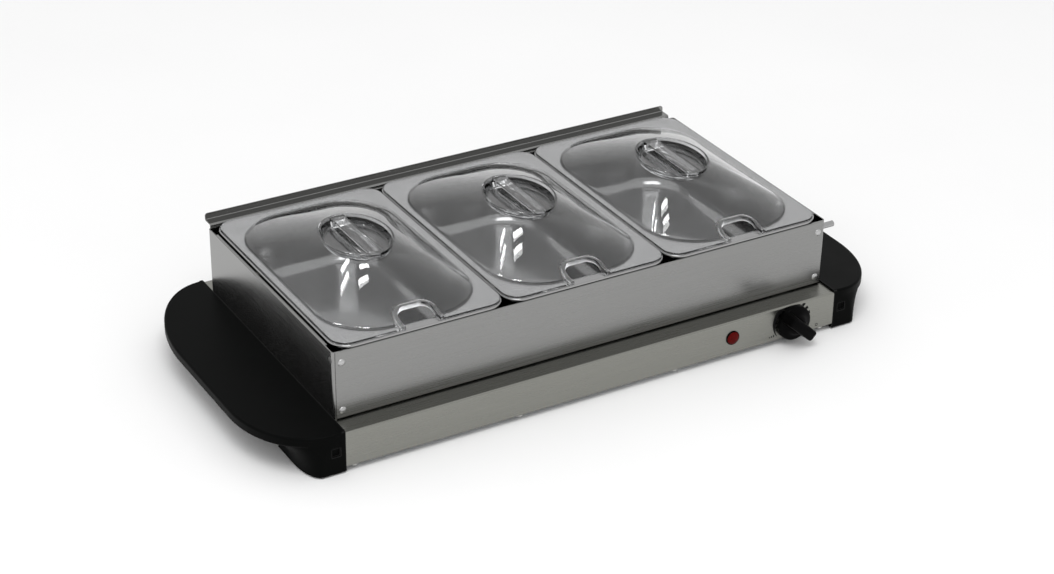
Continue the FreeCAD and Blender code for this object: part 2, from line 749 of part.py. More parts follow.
def make_heat_shield():
    """A folded sheet under the element that stands on the bottom cover."""
    body = new_body("heat_shield")
    half, level, foot = d["shield_depth"] / 2, d["shield_level"], d["ground_gap"]
    profile = new_sketch(body, "YZ_Plane")
    outline(profile, [
        (-half - SHIELD_FOOT, foot), (-half, foot), (-half, level), (half, level),
        (half, foot), (half + SHIELD_FOOT, foot), (half + SHIELD_FOOT, foot + gauge),
        (half + gauge, foot + gauge), (half + gauge, level + gauge), (-half - gauge, level + gauge),
        (-half - gauge, foot + gauge), (-half - SHIELD_FOOT, foot + gauge)])
    pad(body, profile, d["shield_length"], symmetric=True)
    finish(body, "heat_shield")


def make_thermal_fuse():
    """A cut-out in its sleeve, held up to the spreader by a spring clip."""
    x, y = FUSE_PLACE
    fuse_z = spreader_under - FUSE_DIAMETER / 2
    body = cylinder("thermal_fuse", FUSE_DIAMETER, FUSE_LENGTH, x, y - FUSE_LENGTH / 2, fuse_z, TO_REAR)
    finish(body, "thermal_fuse")
    wide = FUSE_DIAMETER + 2
    plate = box("clip_foot", x - wide, y - 4, spreader_under - 1, 2 * wide, 8, 1)
    cradle = box("clip_cradle", x - wide / 2, y - 4, spreader_under - FUSE_DIAMETER - 1,
                 wide, 8, FUSE_DIAMETER + 1)
    room = box("clip_room", x - FUSE_DIAMETER / 2, y - 5, spreader_under - FUSE_DIAMETER,
               FUSE_DIAMETER, 10, FUSE_DIAMETER + 1)
    finish(cut("fuse_clip", fuse("clip_sheet", [plate, cradle]), room), "fuse_clip")


# ---------------------------------------------------------------- controls

def make_thermostat():
    """Switch body behind the fascia with a threaded bush; the shaft turns in the bush."""
    body = new_body("thermostat_body")
    behind = front_y + gauge
    block = new_sketch(body, "XZ_Plane", -behind)
    half_x, half_z = THERMOSTAT_SIZE[0] / 2, THERMOSTAT_SIZE[2] / 2
    rectangle(block, d["knob_x"] - half_x, axis_z - half_z, d["knob_x"] + half_x, axis_z + half_z)
    pad(body, block, THERMOSTAT_SIZE[1], backward=True)
    bush = new_sketch(body, "XZ_Plane", -behind)
    circle(bush, d["knob_x"], axis_z, d["bush_diameter"])
    pad(body, bush, gauge + BUSH_PROUD)
    bore = new_sketch(body, "XZ_Plane", -behind + gauge + BUSH_PROUD)
    circle(bore, d["knob_x"], axis_z, d["shaft_diameter"] + 2 * d["shaft_clearance"])
    for side in SIDES:
        circle(bore, d["knob_x"] + side * SCREW_SPREAD, axis_z, SCREW_SHANK)
    pocket(body, bore, SHAFT_SINK + gauge.number + BUSH_PROUD)
    finish(body, "thermostat_body")
    screws = []
    for side in SIDES:
        x = d["knob_x"] + side * SCREW_SPREAD
        head_width, head_height = THERMOSTAT_SCREW_HEAD
        head = cylinder("head", head_width, head_height, x, front_y - head_height, axis_z, TO_REAR)
        shank = cylinder("shank", SCREW_SHANK, THERMOSTAT_SCREW_REACH, x, front_y, axis_z, TO_REAR)
        screws.append(fuse("screw", [head, shank]))
    group("thermostat_screws", screws)
    start = front_y - d["knob_gap"] - d["knob_skirt"] - SHAFT_NOSE
    end = behind + SHAFT_SINK - 1
    shaft = cylinder("thermostat_shaft", d["shaft_diameter"], end - start,
                     d["knob_x"], start, axis_z, TO_REAR)
    finish(shaft, "thermostat_shaft")


def make_knob():
    """A round skirt, hollow behind, with a straight grip across it that points outwards."""
    body = new_body("control_knob")
    back = -front_y + d["knob_gap"]
    skirt = new_sketch(body, "XZ_Plane", back)
    circle(skirt, 0, 0, d["knob_diameter"])
    pad(body, skirt, d["knob_skirt"])
    grip = new_sketch(body, "XZ_Plane", back)
    edge, half = d["knob_diameter"] / 2, d["knob_bar"] / 2
    rectangle(grip, -edge, -half, edge + POINTER_REACH, half)
    pad(body, grip, d["knob_reach"] - d["knob_gap"])
    hollow = new_sketch(body, "XZ_Plane", back)
    circle(hollow, 0, 0, d["knob_diameter"] - 2 * KNOB_WALL)
    circle(hollow, 0, 0, d["shaft_diameter"] + 2 * KNOB_WALL)
    pocket(body, hollow, KNOB_HOLLOW, backward=True)
    bore = new_sketch(body, "XZ_Plane", back)
    circle(bore, 0, 0, d["shaft_diameter"])
    pocket(body, bore, d["knob_skirt"] + SHAFT_NOSE, backward=True)
    tip = -(back + d["knob_reach"] - d["knob_gap"])
    fillet(body, KNOB_EDGE, [(0, tip, half), (0, tip, -half), (edge + POINTER_REACH, tip, 0),
                             (-edge, tip, 0)])
    body.Placement = Placement(Vector(), Rotation(Vector(0, 1, 0), d["knob_off_angle"].number))
    place(body, d["knob_x"], 0, axis_z)
    finish(body, "control_knob")


def make_pilot_lamp():
    """A bezel on the fascia round a domed lens, and the lamp's body behind."""
    bezel = new_body("pilot_lamp_bezel")
    ring = new_sketch(bezel, "XZ_Plane", -front_y)
    circle(ring, d["lamp_x"], axis_z, d["lamp_diameter"])
    circle(ring, d["lamp_x"], axis_z, d["lens_diameter"])
    pad(bezel, ring, LAMP_PROUD)
    finish(bezel, "pilot_lamp_bezel")
    lens = new_body("pilot_lamp_lens")
    disc = new_sketch(lens, "XZ_Plane", -front_y)
    circle(disc, d["lamp_x"], axis_z, d["lens_diameter"])
    pad(lens, disc, LAMP_PROUD + LENS_DOME)
    neck = new_sketch(lens, "XZ_Plane", -front_y)
    circle(neck, d["lamp_x"], axis_z, d["lens_diameter"] - LENS_STEP)
    pad(lens, neck, LENS_NECK, backward=True)
    crown = front_y - LAMP_PROUD - LENS_DOME
    fillet(lens, LENS_ROUND, [(d["lamp_x"], crown, axis_z)])
    finish(lens, "pilot_lamp_lens")
    holder = cylinder("pilot_lamp_body", d["lens_diameter"] - LENS_STEP, LAMP_BODY,
                      d["lamp_x"], front_y + LENS_NECK, axis_z, TO_REAR)
    finish(holder, "pilot_lamp_body")


def make_inlet():
    """A three-pin appliance inlet in the rear wall; no lead is modelled."""
    body = new_body("appliance_inlet")
    middle = d["inlet_x"]
    half_x, half_z = INLET_MOUTH[0] / 2, INLET_MOUTH[1] / 2
    flange = new_sketch(body, "XZ_Plane", front_y)
    rounded_rectangle(flange, middle, axis_z, INLET_FLANGE[0], INLET_FLANGE[1], INLET_CORNER)
    pad(body, flange, INLET_PROUD, backward=True)
    block = new_sketch(body, "XZ_Plane", front_y)
    rectangle(block, middle - half_x, axis_z - half_z, middle + half_x, axis_z + half_z)
    pad(body, block, INLET_DEPTH)
    socket = new_sketch(body, "XZ_Plane", front_y - INLET_PROUD)
    rounded_rectangle(socket, middle, axis_z, INLET_MOUTH[0] - 2 * INLET_WALL,
                      INLET_MOUTH[1] - 2 * INLET_WALL, INLET_CORNER - 1)
    pocket(body, socket, INLET_SOCKET, backward=True)
    holes = new_sketch(body, "XZ_Plane", front_y - INLET_PROUD)
    for side in SIDES:
        circle(holes, middle + side * INLET_SCREW_SPREAD, axis_z, SCREW_SHANK)
    pocket(body, holes, INLET_PROUD, backward=True)
    finish(body, "appliance_inlet")
    floor_y = -front_y + INLET_PROUD - INLET_SOCKET
    pin_length = INLET_SOCKET - 4
    pins = [box("pin", middle + x - PIN_WIDTH / 2, floor_y, axis_z + z - PIN_HEIGHT / 2,
                PIN_WIDTH, pin_length, PIN_HEIGHT) for x, z in INLET_PINS]
    group("inlet_pins", pins)
    screws = []
    for side in SIDES:
        x = middle + side * INLET_SCREW_SPREAD
        head = cylinder("head", SCREW_HEAD - 1, INLET_HEAD, x, -front_y + INLET_PROUD, axis_z, TO_REAR)
        shank = cylinder("shank", SCREW_SHANK, INLET_SCREW_REACH, x,
                         -front_y + INLET_PROUD - INLET_SCREW_REACH, axis_z, TO_REAR)
        screws.append(fuse("screw", [head, shank]))
    group("inlet_screws", screws)
    earth_x = middle - EARTH_OFFSET
    head_height, reach = EARTH_SCREW
    head = cylinder("head", SCREW_HEAD, head_height, earth_x, -front_y, axis_z, TO_REAR)
    shank = cylinder("shank", SCREW_SHANK, reach, earth_x, -front_y - reach, axis_z, TO_REAR)
    finish(fuse("earth_screw", [head, shank]), "earth_screw")


def wire(name, start, start_way, middle, end, end_way):
    """A round wire between two terminals, along a smooth curve that leaves each one squarely."""
    points, ways, ends = [], [], []
    for point, way in ((Vector(*start), Vector(*start_way)), (Vector(*end), Vector(*end_way))):
        ends.append(Part.makeCylinder(TERMINAL_WIDTH / 2, TERMINAL_LENGTH, point, way))
        points.append(point + way * TERMINAL_LENGTH)
        ways.append(way)
    terminals.extend(ends)
    curve = Part.BSplineCurve()
    curve.interpolate([points[0], points[0] + ways[0] * WIRE_LEAD]
                      + [Vector(*point) for point in middle]
                      + [points[1] + ways[1] * WIRE_LEAD, points[1]])
    start_tangent = curve.tangent(curve.FirstParameter)[0]
    ring = Part.Circle(points[0], start_tangent, d["wire_diameter"].number / 2).toShape()
    item = doc.addObject("Part::Feature", name)
    item.Shape = Part.Wire(curve.toShape()).makePipeShell([Part.Wire(ring)], True, False).cut(ends)
    return item


def make_wiring():
    """Wires between the inlet, thermostat, fuse, element and lamp, clear of the heat shield."""
    to_front, to_rear, to_right = (0, -1, 0), (0, 1, 0), (1, 0, 0)
    switch_y = (front_y + gauge).number + THERMOSTAT_SIZE[1]
    inlet_y = -front_y.number - INLET_DEPTH
    switch_x, inlet_x = d["knob_x"].number, d["inlet_x"].number
    height, level = axis_z.number, element_z.number
    row = d["element_bend"].number
    tail = (d["element_run"] / 2).number + ELEMENT_TAIL
    lane = end_x.number - WIRE_LANE
    fuse_x, fuse_y = FUSE_PLACE
    fuse_z = spreader_under.number - FUSE_DIAMETER / 2
    low = height - 6
    finish(wire("wire_live", (inlet_x + 7, inlet_y, low), to_front,
                [(lane - 20, inlet_y - 14, low), (lane, 60, low), (lane, -60, low)],
                (switch_x + 10, switch_y, low), to_rear), "wire_live")
    finish(wire("wire_neutral", (inlet_x + 7, inlet_y, height + 5), to_front,
                [(lane - 22, inlet_y - 18, level - 2), (lane, row + 34, level), (lane, row + 12, level)],
                (tail, row, level), to_right), "wire_neutral")
    finish(wire("wire_to_fuse", (switch_x - 8, switch_y, height + 5), to_rear,
                [(fuse_x + 4, fuse_y - FUSE_LENGTH - 16, level)],
                (fuse_x, fuse_y - FUSE_LENGTH / 2, fuse_z), to_front), "wire_to_fuse")
    finish(wire("wire_fuse_to_element", (fuse_x, fuse_y + FUSE_LENGTH / 2, fuse_z), to_rear,
                [(tail + 12, -row - 10, level)],
                (tail, -row, level), to_right), "wire_fuse_to_element")
    lamp_x = d["lamp_x"].number
    lamp_y = front_y.number + LENS_NECK + LAMP_BODY
    leads = []
    for side in SIDES:
        lead_z = height - 5 + 3 * side
        leads.append(wire("lead", (lamp_x, lamp_y, height + 3 * side), to_rear,
                          [(lamp_x + 20, lamp_y + 14, lead_z), (switch_x - 24, lamp_y + 14, lead_z)],
                          (switch_x - 1 - 4 * side, switch_y, lead_z), to_rear))
    group("lamp_leads", leads)
    finish(wire("wire_earth", (inlet_x - 9, inlet_y, height), to_front,
                [(inlet_x - 24, inlet_y - 12, low), (inlet_x - EARTH_OFFSET, inlet_y - 12, low)],
                (inlet_x - EARTH_OFFSET, EARTH_END, height), to_front), "wire_earth")
    terminal_set = doc.addObject("Part::Feature", "wire_terminals")
    terminal_set.Shape = Part.makeCompound(terminals)
    finish(terminal_set, "wire_terminals")


# ---------------------------------------------------------------- pan frame

def rivet_places():
    return [(side * (panel_end - d["rivet_inset"]), plate_top + level)
            for side in SIDES for level in (d["rivet_low"], d["rivet_high"])]


def make_long_panel(name, side):
    """Front or rear panel: a sheet whose top edge is folded back inside as a hem."""
    body = new_body(name)
    face = side * -frame_front
    inner, hem_face = face - side * gauge, face - side * gauge * 2
    sheet = new_sketch(body, "YZ_Plane")
    rectangle(sheet, face, panel_bottom, inner, frame_top)
    pad(body, sheet, d["front_length"], symmetric=True)
    hem = new_sketch(body, "YZ_Plane")
    rectangle(hem, inner, frame_top - d["hem_depth"], hem_face, frame_top)
    pad(body, hem, d["base_length"] - 2 * d["corner_flange"] - 1, symmetric=True)
    fillet(body, HEM_ROUND, [(0, face, frame_top), (0, hem_face, frame_top)])
    holes = new_sketch(body, "XZ_Plane", -inner)
    for x, level in rivet_places():
        circle(holes, x, level, d["rivet_shank"])
    pocket(body, holes, gauge, backward=side < 0)
    finish(body, name)


def make_side_panel(name, side):
    """Side panel: a sheet that stands on the housing, bent round behind the long panels.

    Its top edge is folded in twice, which fills most of the gap beside the outer pans.
    """
    body = new_body(name)
    outer, inner = side * end_x, side * (end_x - gauge)
    reach = side * (end_x - d["corner_flange"])
    front, back = frame_front + gauge, frame_front + 2 * gauge
    plan = new_sketch(body, "XY_Plane", plate_top)
    outline(plan, [
        (reach, front), (outer, front), (outer, -front), (reach, -front),
        (reach, -back), (inner, -back), (inner, back), (reach, back)])
    pad(body, plan, d["frame_height"])
    middle = plate_top + d["frame_height"] / 2
    fillet(body, d["side_bend"], [(outer, front, middle), (outer, -front, middle)])
    fillet(body, d["side_bend"] - gauge, [(inner, back, middle), (inner, -back, middle)])
    hem = new_sketch(body, "XY_Plane", frame_top - d["hem_depth"])
    end_y = frame_front + d["corner_flange"]
    rectangle(hem, inner, end_y, side * (end_x - SIDE_HEM_SHEETS * gauge), -end_y)
    pad(body, hem, d["hem_depth"])
    relief = new_sketch(body, "XZ_Plane", 0)
    rectangle(relief, reach, plate_top, side * (end_x - d["side_bend"]), plate_top + d["flange_relief"])
    pocket(body, relief, d["frame_depth"], symmetric=True)
    rivet_holes = new_sketch(body, "XZ_Plane", 0)
    for x, level in rivet_places():
        if x.number * side > 0:
            circle(rivet_holes, x, level, d["rivet_shank"])
    pocket(body, rivet_holes, d["frame_depth"], symmetric=True)
    rod_hole = new_sketch(body, "YZ_Plane", side * (end_x - 2))
    circle(rod_hole, frame_front + d["rod_setback"], frame_top - d["rod_drop"], d["rod_diameter"] + 0.3)
    pocket(body, rod_hole, 4, backward=side > 0)
    finish(body, name)


def make_rivets():
    """Corner rivets: a low round head outside and a shank through both sheets."""
    rivets = []
    for side in SIDES:
        face = side * -frame_front
        inward = TO_REAR if side < 0 else TO_REAR.inverted()
        for x, level in rivet_places():
            shank = cylinder("shank", d["rivet_shank"], 2 * gauge, x, face, level, inward)
            head = doc.addObject("Part::Cone", "head")
            bind(head, "Radius1", d["rivet_head"] / 2)
            bind(head, "Radius2", d["rivet_head"] / 3)
            bind(head, "Height", RIVET_PROUD)
            head.Placement = Placement(Vector(), inward.inverted())
            place(head, x, face, level)
            rivets.append(fuse("rivet", [shank, head]))
    group("frame_rivets", rivets)


def make_lid_rail():
    """Strip on the rear panel: a shelf with an upturned lip, where a lid can lean."""
    body = new_body("lid_rest_rail")
    near = -frame_front
    far = near + d["rail_depth"]
    low, shelf = frame_top - d["rail_drop"], frame_top + d["rail_step"]
    tip = shelf + d["rail_lip"]
    profile = new_sketch(body, "YZ_Plane", -d["rail_short"] / 2)
    outline(profile, [
        (near, low), (near + gauge, low), (near + gauge, shelf - gauge), (far, shelf - gauge),
        (far, tip), (far - gauge, tip), (far - gauge, shelf), (near, shelf)])
    pad(body, profile, d["front_length"] - d["rail_short"], symmetric=True)
    fillet(body, d["rail_bend"], [(0, near, shelf), (0, far, shelf - gauge)])
    fillet(body, d["rail_bend"] - gauge, [(0, near + gauge, shelf - gauge), (0, far - gauge, shelf)])
    lip, right_end = far - gauge / 2, panel_end - d["rail_short"]
    fillet(body, RAIL_CORNER, [(-panel_end, lip, tip), (right_end, lip, tip)])
    finish(body, "lid_rest_rail")


def make_rod():
    start, stop = -end_x, end_x + d["rod_overhang"]
    rod = cylinder("stiffener_rod", d["rod_diameter"], stop - start, start,
                   frame_front + d["rod_setback"], frame_top - d["rod_drop"], TO_RIGHT)
    finish(rod, "stiffener_rod")


# ---------------------------------------------------------------- pans and lids

def make_pan(name, index):
    """A pressed pan: a flat rim with a rolled edge round a drafted bowl."""
    body = new_body(name)
    x = index * d["pan_pitch"]
    thick = gauge
    rim = new_sketch(body, "XY_Plane", rim_top - thick)
    rounded_rectangle(rim, x, 0, d["pan_width"], d["pan_length"], d["rim_corner"])
    pad(body, rim, thick)
    roll = new_sketch(body, "XY_Plane", frame_top)
    rounded_rectangle(roll, x, 0, d["pan_width"], d["pan_length"], d["rim_corner"])
    inset = 2 * d["rim_roll"]
    rounded_rectangle(roll, x, 0, d["pan_width"] - inset, d["pan_length"] - inset,
                      d["rim_corner"] - d["rim_roll"])
    pad(body, roll, d["rim_height"] - thick)
    bowl = new_sketch(body, "XY_Plane", rim_top)
    rounded_rectangle(bowl, x, 0, d["opening_width"] + 2 * thick, d["opening_length"] + 2 * thick,
                      d["opening_corner"] + thick)
    pad(body, bowl, d["pan_depth"] + thick, backward=True, taper=-d["pan_draft"])
    mouth = new_sketch(body, "XY_Plane", rim_top)
    rounded_rectangle(mouth, x, 0, d["opening_width"], d["opening_length"], d["opening_corner"])
    pocket(body, mouth, d["pan_depth"], taper=-d["pan_draft"])
    floor = rim_top - d["pan_depth"]
    fillet_level(body, d["pan_fillet"], floor)
    fillet_level(body, d["pan_fillet"] + thick, floor - thick)
    fillet_level(body, d["mouth_fillet"], rim_top, d["opening_length"] / 2 + 1)
    finish(body, name)


def rounded_wire(x, y, width, length, radius, level):
    """A rounded rectangle as a wire, for lofting."""
    half_x, half_y = width / 2 - radius, length / 2 - radius
    edges = []
    turns = [(1, -1), (1, 1), (-1, 1), (-1, -1)]
    for index, (side_x, side_y) in enumerate(turns):
        centre = Vector(x + side_x * half_x, y + side_y * half_y, level)
        ring = Part.Circle(centre, Vector(0, 0, 1), radius)
        start = (index - 1) * math.pi / 2
        edges.append(Part.ArcOfCircle(ring, start, start + math.pi / 2).toShape())
        next_x, next_y = turns[(index + 1) % 4]
        after = Vector(x + next_x * half_x, y + next_y * half_y, level)
        angle = start + math.pi / 2
        offset = Vector(math.cos(angle), math.sin(angle), 0) * radius
        edges.append(Part.makeLine(centre + offset, after + offset))
    return Part.Wire(edges)


def crown_shape(x, base, outset):
    """The lid's crown as a solid: a hipped roof, slightly rounded, that rises to the grip."""
    width, length = d["opening_width"].number, d["opening_length"].number
    corner = d["opening_corner"].number
    side = outset * CROWN_SIDE
    sections = []
    for step in range(CROWN_STEPS + 1):
        share = step / CROWN_STEPS
        height = d["lid_rise"].number * math.sin(share * CROWN_TURN) / math.sin(CROWN_TURN)
        sections.append(rounded_wire(
            x, 0, width + (CROWN_TOP[0] - width) * share + 2 * side,
            length + (CROWN_TOP[1] - length) * share + 2 * side,
            corner + (CROWN_TOP[2] - corner) * share + side, base + outset + height))
    crown = Part.makeLoft(sections, True, False)
    foot = rounded_wire(x, 0, width + 2 * side, length + 2 * side, corner + side, base - CROWN_SKIRT)
    return crown.fuse(Part.Face(foot).extrude(Vector(0, 0, CROWN_SKIRT + outset)))


def oval_tub(x, width, length, low, high, draft):
    """An oval tub, longer from front to rear, that narrows by the draft towards its floor."""
    rings = []
    for level, inset in ((low, draft), (high, 0)):
        middle = Vector(x, 0, level)
        ring = Part.Ellipse(middle + Vector(0, length / 2 - inset, 0),
                            middle + Vector(width / 2 - inset, 0, 0), middle)
        rings.append(Part.Wire(ring.toShape()))
    return Part.makeLoft(rings, True, True)


def notch_prism(x, border, base):
    """A slot with two round inner corners, open to the front, from below the lid to above it."""
    front = -d["pan_length"].number / 2 + d["lid_inset"].number
    length = d["notch_length"].number + border
    width, corner = d["notch_width"].number + 2 * border, d["notch_corner"].number + border
    middle_y = front + (length - NOTCH_OVERRUN) / 2
    plan = rounded_wire(x, middle_y, width, length + NOTCH_OVERRUN, corner, base - 1)
    return Part.Face(plan).extrude(Vector(0, 0, TALL))


def lid_edge(x, base, height):
    """The lid's flat flange, to its full outline."""
    inset = d["lid_inset"].number
    edge = rounded_wire(x, 0, d["pan_width"].number - 2 * inset, d["pan_length"].number - 2 * inset,
                        d["rim_corner"].number - inset, base)
    return Part.Face(edge).extrude(Vector(0, 0, height))


def lid_shape(x):
    """A flange, a crown, an oval grip with two finger wells, and a spoon notch with a border."""
    thick, base = d["lid_gauge"].number, rim_top.number
    wide, deep = d["pan_width"].number, d["pan_length"].number
    below = Part.makeBox(wide, deep, TALL, Vector(x - wide / 2, -deep / 2, base - TALL))
    shape = lid_edge(x, base, thick).fuse(crown_shape(x, base, thick).cut(below))
    raised = thick + BORDER_RISE
    room = lid_edge(x, base, raised).fuse(crown_shape(x, base, raised).cut(below))
    ridge = notch_prism(x, d["notch_border"].number, base)
    shape = shape.fuse(ridge.common(room)).cut(crown_shape(x, base, 0))
    width, length, bar = d["grip_width"].number, d["grip_length"].number, d["grip_bar"].number
    top = (frame_top + d["grip_top"]).number
    well = top - d["grip_depth"].number
    shape = shape.fuse(oval_tub(x, width, length, well - thick, top, WELL_DRAFT))
    bridge = Part.makeBox(bar, length, top, Vector(x - bar / 2, -length / 2, 0))
    room = oval_tub(x, width - 2 * thick, length - 2 * thick, well, top, WELL_DRAFT)
    shape = shape.cut(room.cut(bridge))
    slot = length / 2 - WELL_DRAFT - 2 * thick
    under_bar = Part.makeBox(bar - 2 * thick, 2 * slot, top - well,
                             Vector(x - bar / 2 + thick, -slot, well - thick))
    shape = shape.cut(under_bar)
    return shape.cut(notch_prism(x, 0, base)).removeSplitter()


def make_lid(name, index):
    item = doc.addObject("Part::Feature", name)
    item.Shape = lid_shape(index * d["pan_pitch"].number)
    finish(item, name)


def build():
    make_housing()
    make_bottom_cover()
    make_handles()
    make_feet()
    make_cover_screws()
    make_heat_spreader()
    make_heating_element()
    make_element_clips()
    make_heat_shield()
    make_thermal_fuse()
    make_thermostat()
    make_knob()
    make_pilot_lamp()
    make_inlet()
    make_wiring()
    make_long_panel("frame_front_panel", -1)
    make_long_panel("frame_rear_panel", 1)
    make_side_panel("frame_left_panel", -1)
    make_side_panel("frame_right_panel", 1)
    make_rivets()
    make_lid_rail()
    make_rod()
    for index, word in enumerate(PAN_NAMES, start=-1):
        make_pan(f"pan_{word}", index)
        make_lid(f"lid_{word}", index)
    doc.recompute()


def check():
    """Stop if any object failed, or any sub-part is empty or invalid."""
    for item in doc.Objects:
        if {"Invalid", "Error"} & set(item.State):
            raise RuntimeError(f"{item.Name} failed: {item.State}")
    for item in nodes:
        shape = item.Shape
        if shape.isNull() or not shape.isValid() or not shape.Solids:
            raise RuntimeError(f"{item.Label} has no valid solid")


def export():
    os.makedirs("parts", exist_ok=True)
    for item in nodes:
        item.Shape.exportStep(f"parts/{item.Label}.step")


build()
check()
export()
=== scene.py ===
"""The looks of the electric buffet server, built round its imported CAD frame.

Metres, in the row frame: +X to the right, +Y to the rear, +Z up, the origin on the table. The pieces
built here are drawn in millimetres and scaled when they are made.
"""

import json
import math

import bmesh
import bpy
from mathutils import Matrix, Vector


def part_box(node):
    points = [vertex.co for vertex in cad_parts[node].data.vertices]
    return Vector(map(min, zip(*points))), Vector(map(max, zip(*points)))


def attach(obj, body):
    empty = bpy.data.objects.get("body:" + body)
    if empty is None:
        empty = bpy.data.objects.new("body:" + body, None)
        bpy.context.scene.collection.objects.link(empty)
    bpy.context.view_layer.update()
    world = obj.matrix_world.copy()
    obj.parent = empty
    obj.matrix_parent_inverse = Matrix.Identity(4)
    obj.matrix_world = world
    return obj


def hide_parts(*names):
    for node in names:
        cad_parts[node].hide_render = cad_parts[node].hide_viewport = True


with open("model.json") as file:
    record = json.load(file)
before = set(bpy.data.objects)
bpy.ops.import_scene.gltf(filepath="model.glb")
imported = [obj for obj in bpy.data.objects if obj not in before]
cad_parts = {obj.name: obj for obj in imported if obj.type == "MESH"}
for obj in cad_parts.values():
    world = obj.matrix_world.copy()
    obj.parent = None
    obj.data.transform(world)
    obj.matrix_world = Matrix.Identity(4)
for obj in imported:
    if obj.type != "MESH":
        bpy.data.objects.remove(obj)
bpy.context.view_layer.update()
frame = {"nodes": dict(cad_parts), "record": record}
MM = 0.001


# ---------------------------------------------------------------- materials

# A Mix node has sockets for every kind of data. These are the ones for colours.
MIX_FACTOR = 0
MIX_A = 6
MIX_B = 7
MIX_RESULT = 2
NOISE_MIDDLE = (0.3, 0.7)


class Nodes:
    """A material's node tree, with short ways to add and join nodes."""

    def __init__(self, name):
        self.material = bpy.data.materials.new(name)
        self.material.use_nodes = True
        self.tree = self.material.node_tree
        self.tree.nodes.clear()
        self.output = self.add("ShaderNodeOutputMaterial")
        self.shader = self.add("ShaderNodeBsdfPrincipled")
        self.join(self.shader, "BSDF", self.output, "Surface")
        self.place = self.add("ShaderNodeTexCoord")

    def add(self, kind, **settings):
        node = self.tree.nodes.new(kind)
        for key, value in settings.items():
            setattr(node, key, value)
        return node

    def join(self, source, output, target, socket):
        self.tree.links.new(source.outputs[output], target.inputs[socket])

    def set(self, **values):
        """Set the shader's inputs. An underscore stands for a space in an input's name."""
        for key, value in values.items():
            self.shader.inputs[key.replace("_", " ")].default_value = value

    def noise(self, scale, stretch=(1, 1, 1), detail=3.0, rough=0.5):
        """Noise in object space: scale in features per metre, before the stretch."""
        mapping = self.add("ShaderNodeMapping")
        mapping.inputs["Scale"].default_value = stretch
        self.join(self.place, "Object", mapping, "Vector")
        texture = self.add("ShaderNodeTexNoise")
        texture.inputs["Scale"].default_value = scale
        texture.inputs["Detail"].default_value = detail
        texture.inputs["Roughness"].default_value = rough
        self.join(mapping, "Vector", texture, "Vector")
        return texture

    def span(self, source, low, high):
        """Map a noise's middle range onto low to high."""
        node = self.add("ShaderNodeMapRange")
        node.inputs["From Min"].default_value = NOISE_MIDDLE[0]
        node.inputs["From Max"].default_value = NOISE_MIDDLE[1]
        node.inputs["To Min"].default_value = low
        node.inputs["To Max"].default_value = high
        self.join(source, "Fac", node, "Value")
        return node

    def tint(self, factor, dark, light):
        """A colour between two colours."""
        node = self.add("ShaderNodeMix", data_type="RGBA")
        node.inputs[MIX_A].default_value = (*dark, 1)
        node.inputs[MIX_B].default_value = (*light, 1)
        self.tree.links.new(factor.outputs[0], node.inputs[MIX_FACTOR])
        return node

    def bump(self, source, distance, strength):
        """Raise the surface by a texture: its full height in metres, and the share of it that shows."""
        node = self.add("ShaderNodeBump")
        node.inputs["Distance"].default_value = distance
        node.inputs["Strength"].default_value = strength
        self.tree.links.new(source.outputs[0], node.inputs["Height"])
        self.join(node, "Normal", self.shader, "Normal")


LINES_ACROSS = 1800.0
LINES_ALONG = 14.0
METAL_SHADE = 0.93


def brushed(name, colour, grain, rough=(0.24, 0.36), depth=0.00002):
    """Brushed sheet: fine lines along one axis, over broad smudges."""
    m = Nodes(name)
    fine = [LINES_ACROSS] * 3
    fine[grain] = LINES_ALONG
    lines = m.noise(1.0, fine, detail=2.0)
    smudge = m.noise(22.0, detail=4.0)
    dark = [c * METAL_SHADE for c in colour]
    shade = m.span(lines, 0.0, 1.0)
    m.join(m.tint(shade, dark, colour), MIX_RESULT, m.shader, "Base Color")
    lines_rough = m.span(lines, rough[0], rough[1])
    smudge_rough = m.span(smudge, -0.01, 0.02)
    total = m.add("ShaderNodeMath", operation="ADD")
    m.tree.links.new(lines_rough.outputs[0], total.inputs[0])
    m.tree.links.new(smudge_rough.outputs[0], total.inputs[1])
    m.join(total, "Value", m.shader, "Roughness")
    m.set(Metallic=1.0)
    m.bump(lines, depth, 0.5)
    return m.material


def pressed(name, colour, bowl, low, high, rough):
    """Pressed sheet: no grain, a slight haze and long soft waves, and painted shade that darkens it down
    into the bowl.

    High and low are the heights, in millimetres, where the bowl's colour, a painted shade, begins and is
    reached.
    """
    m = Nodes(name)
    haze = m.noise(60.0, detail=2.0)
    waves = m.noise(9.0, detail=1.0)
    dark = [c * METAL_SHADE for c in colour]
    rim = m.tint(m.span(haze, 0.0, 1.0), dark, colour)
    split = m.add("ShaderNodeSeparateXYZ")
    m.join(m.place, "Object", split, "Vector")
    depth = m.add("ShaderNodeMapRange", interpolation_type="SMOOTHSTEP")
    depth.inputs["From Min"].default_value = high * MM
    depth.inputs["From Max"].default_value = low * MM
    m.join(split, "Z", depth, "Value")
    # Painted shade: the rim's colour gives way to the darker bowl colour down inside the pan, where less
    # light reaches.
    mix = m.add("ShaderNodeMix", data_type="RGBA")
    m.join(depth, "Result", mix, MIX_FACTOR)
    m.join(rim, MIX_RESULT, mix, MIX_A)
    mix.inputs[MIX_B].default_value = (*bowl, 1)
    m.join(mix, MIX_RESULT, m.shader, "Base Color")
    m.join(m.span(haze, rough[0], rough[1]), "Result", m.shader, "Roughness")
    m.set(Metallic=1.0)
    m.bump(waves, 0.0003, 0.1)
    return m.material


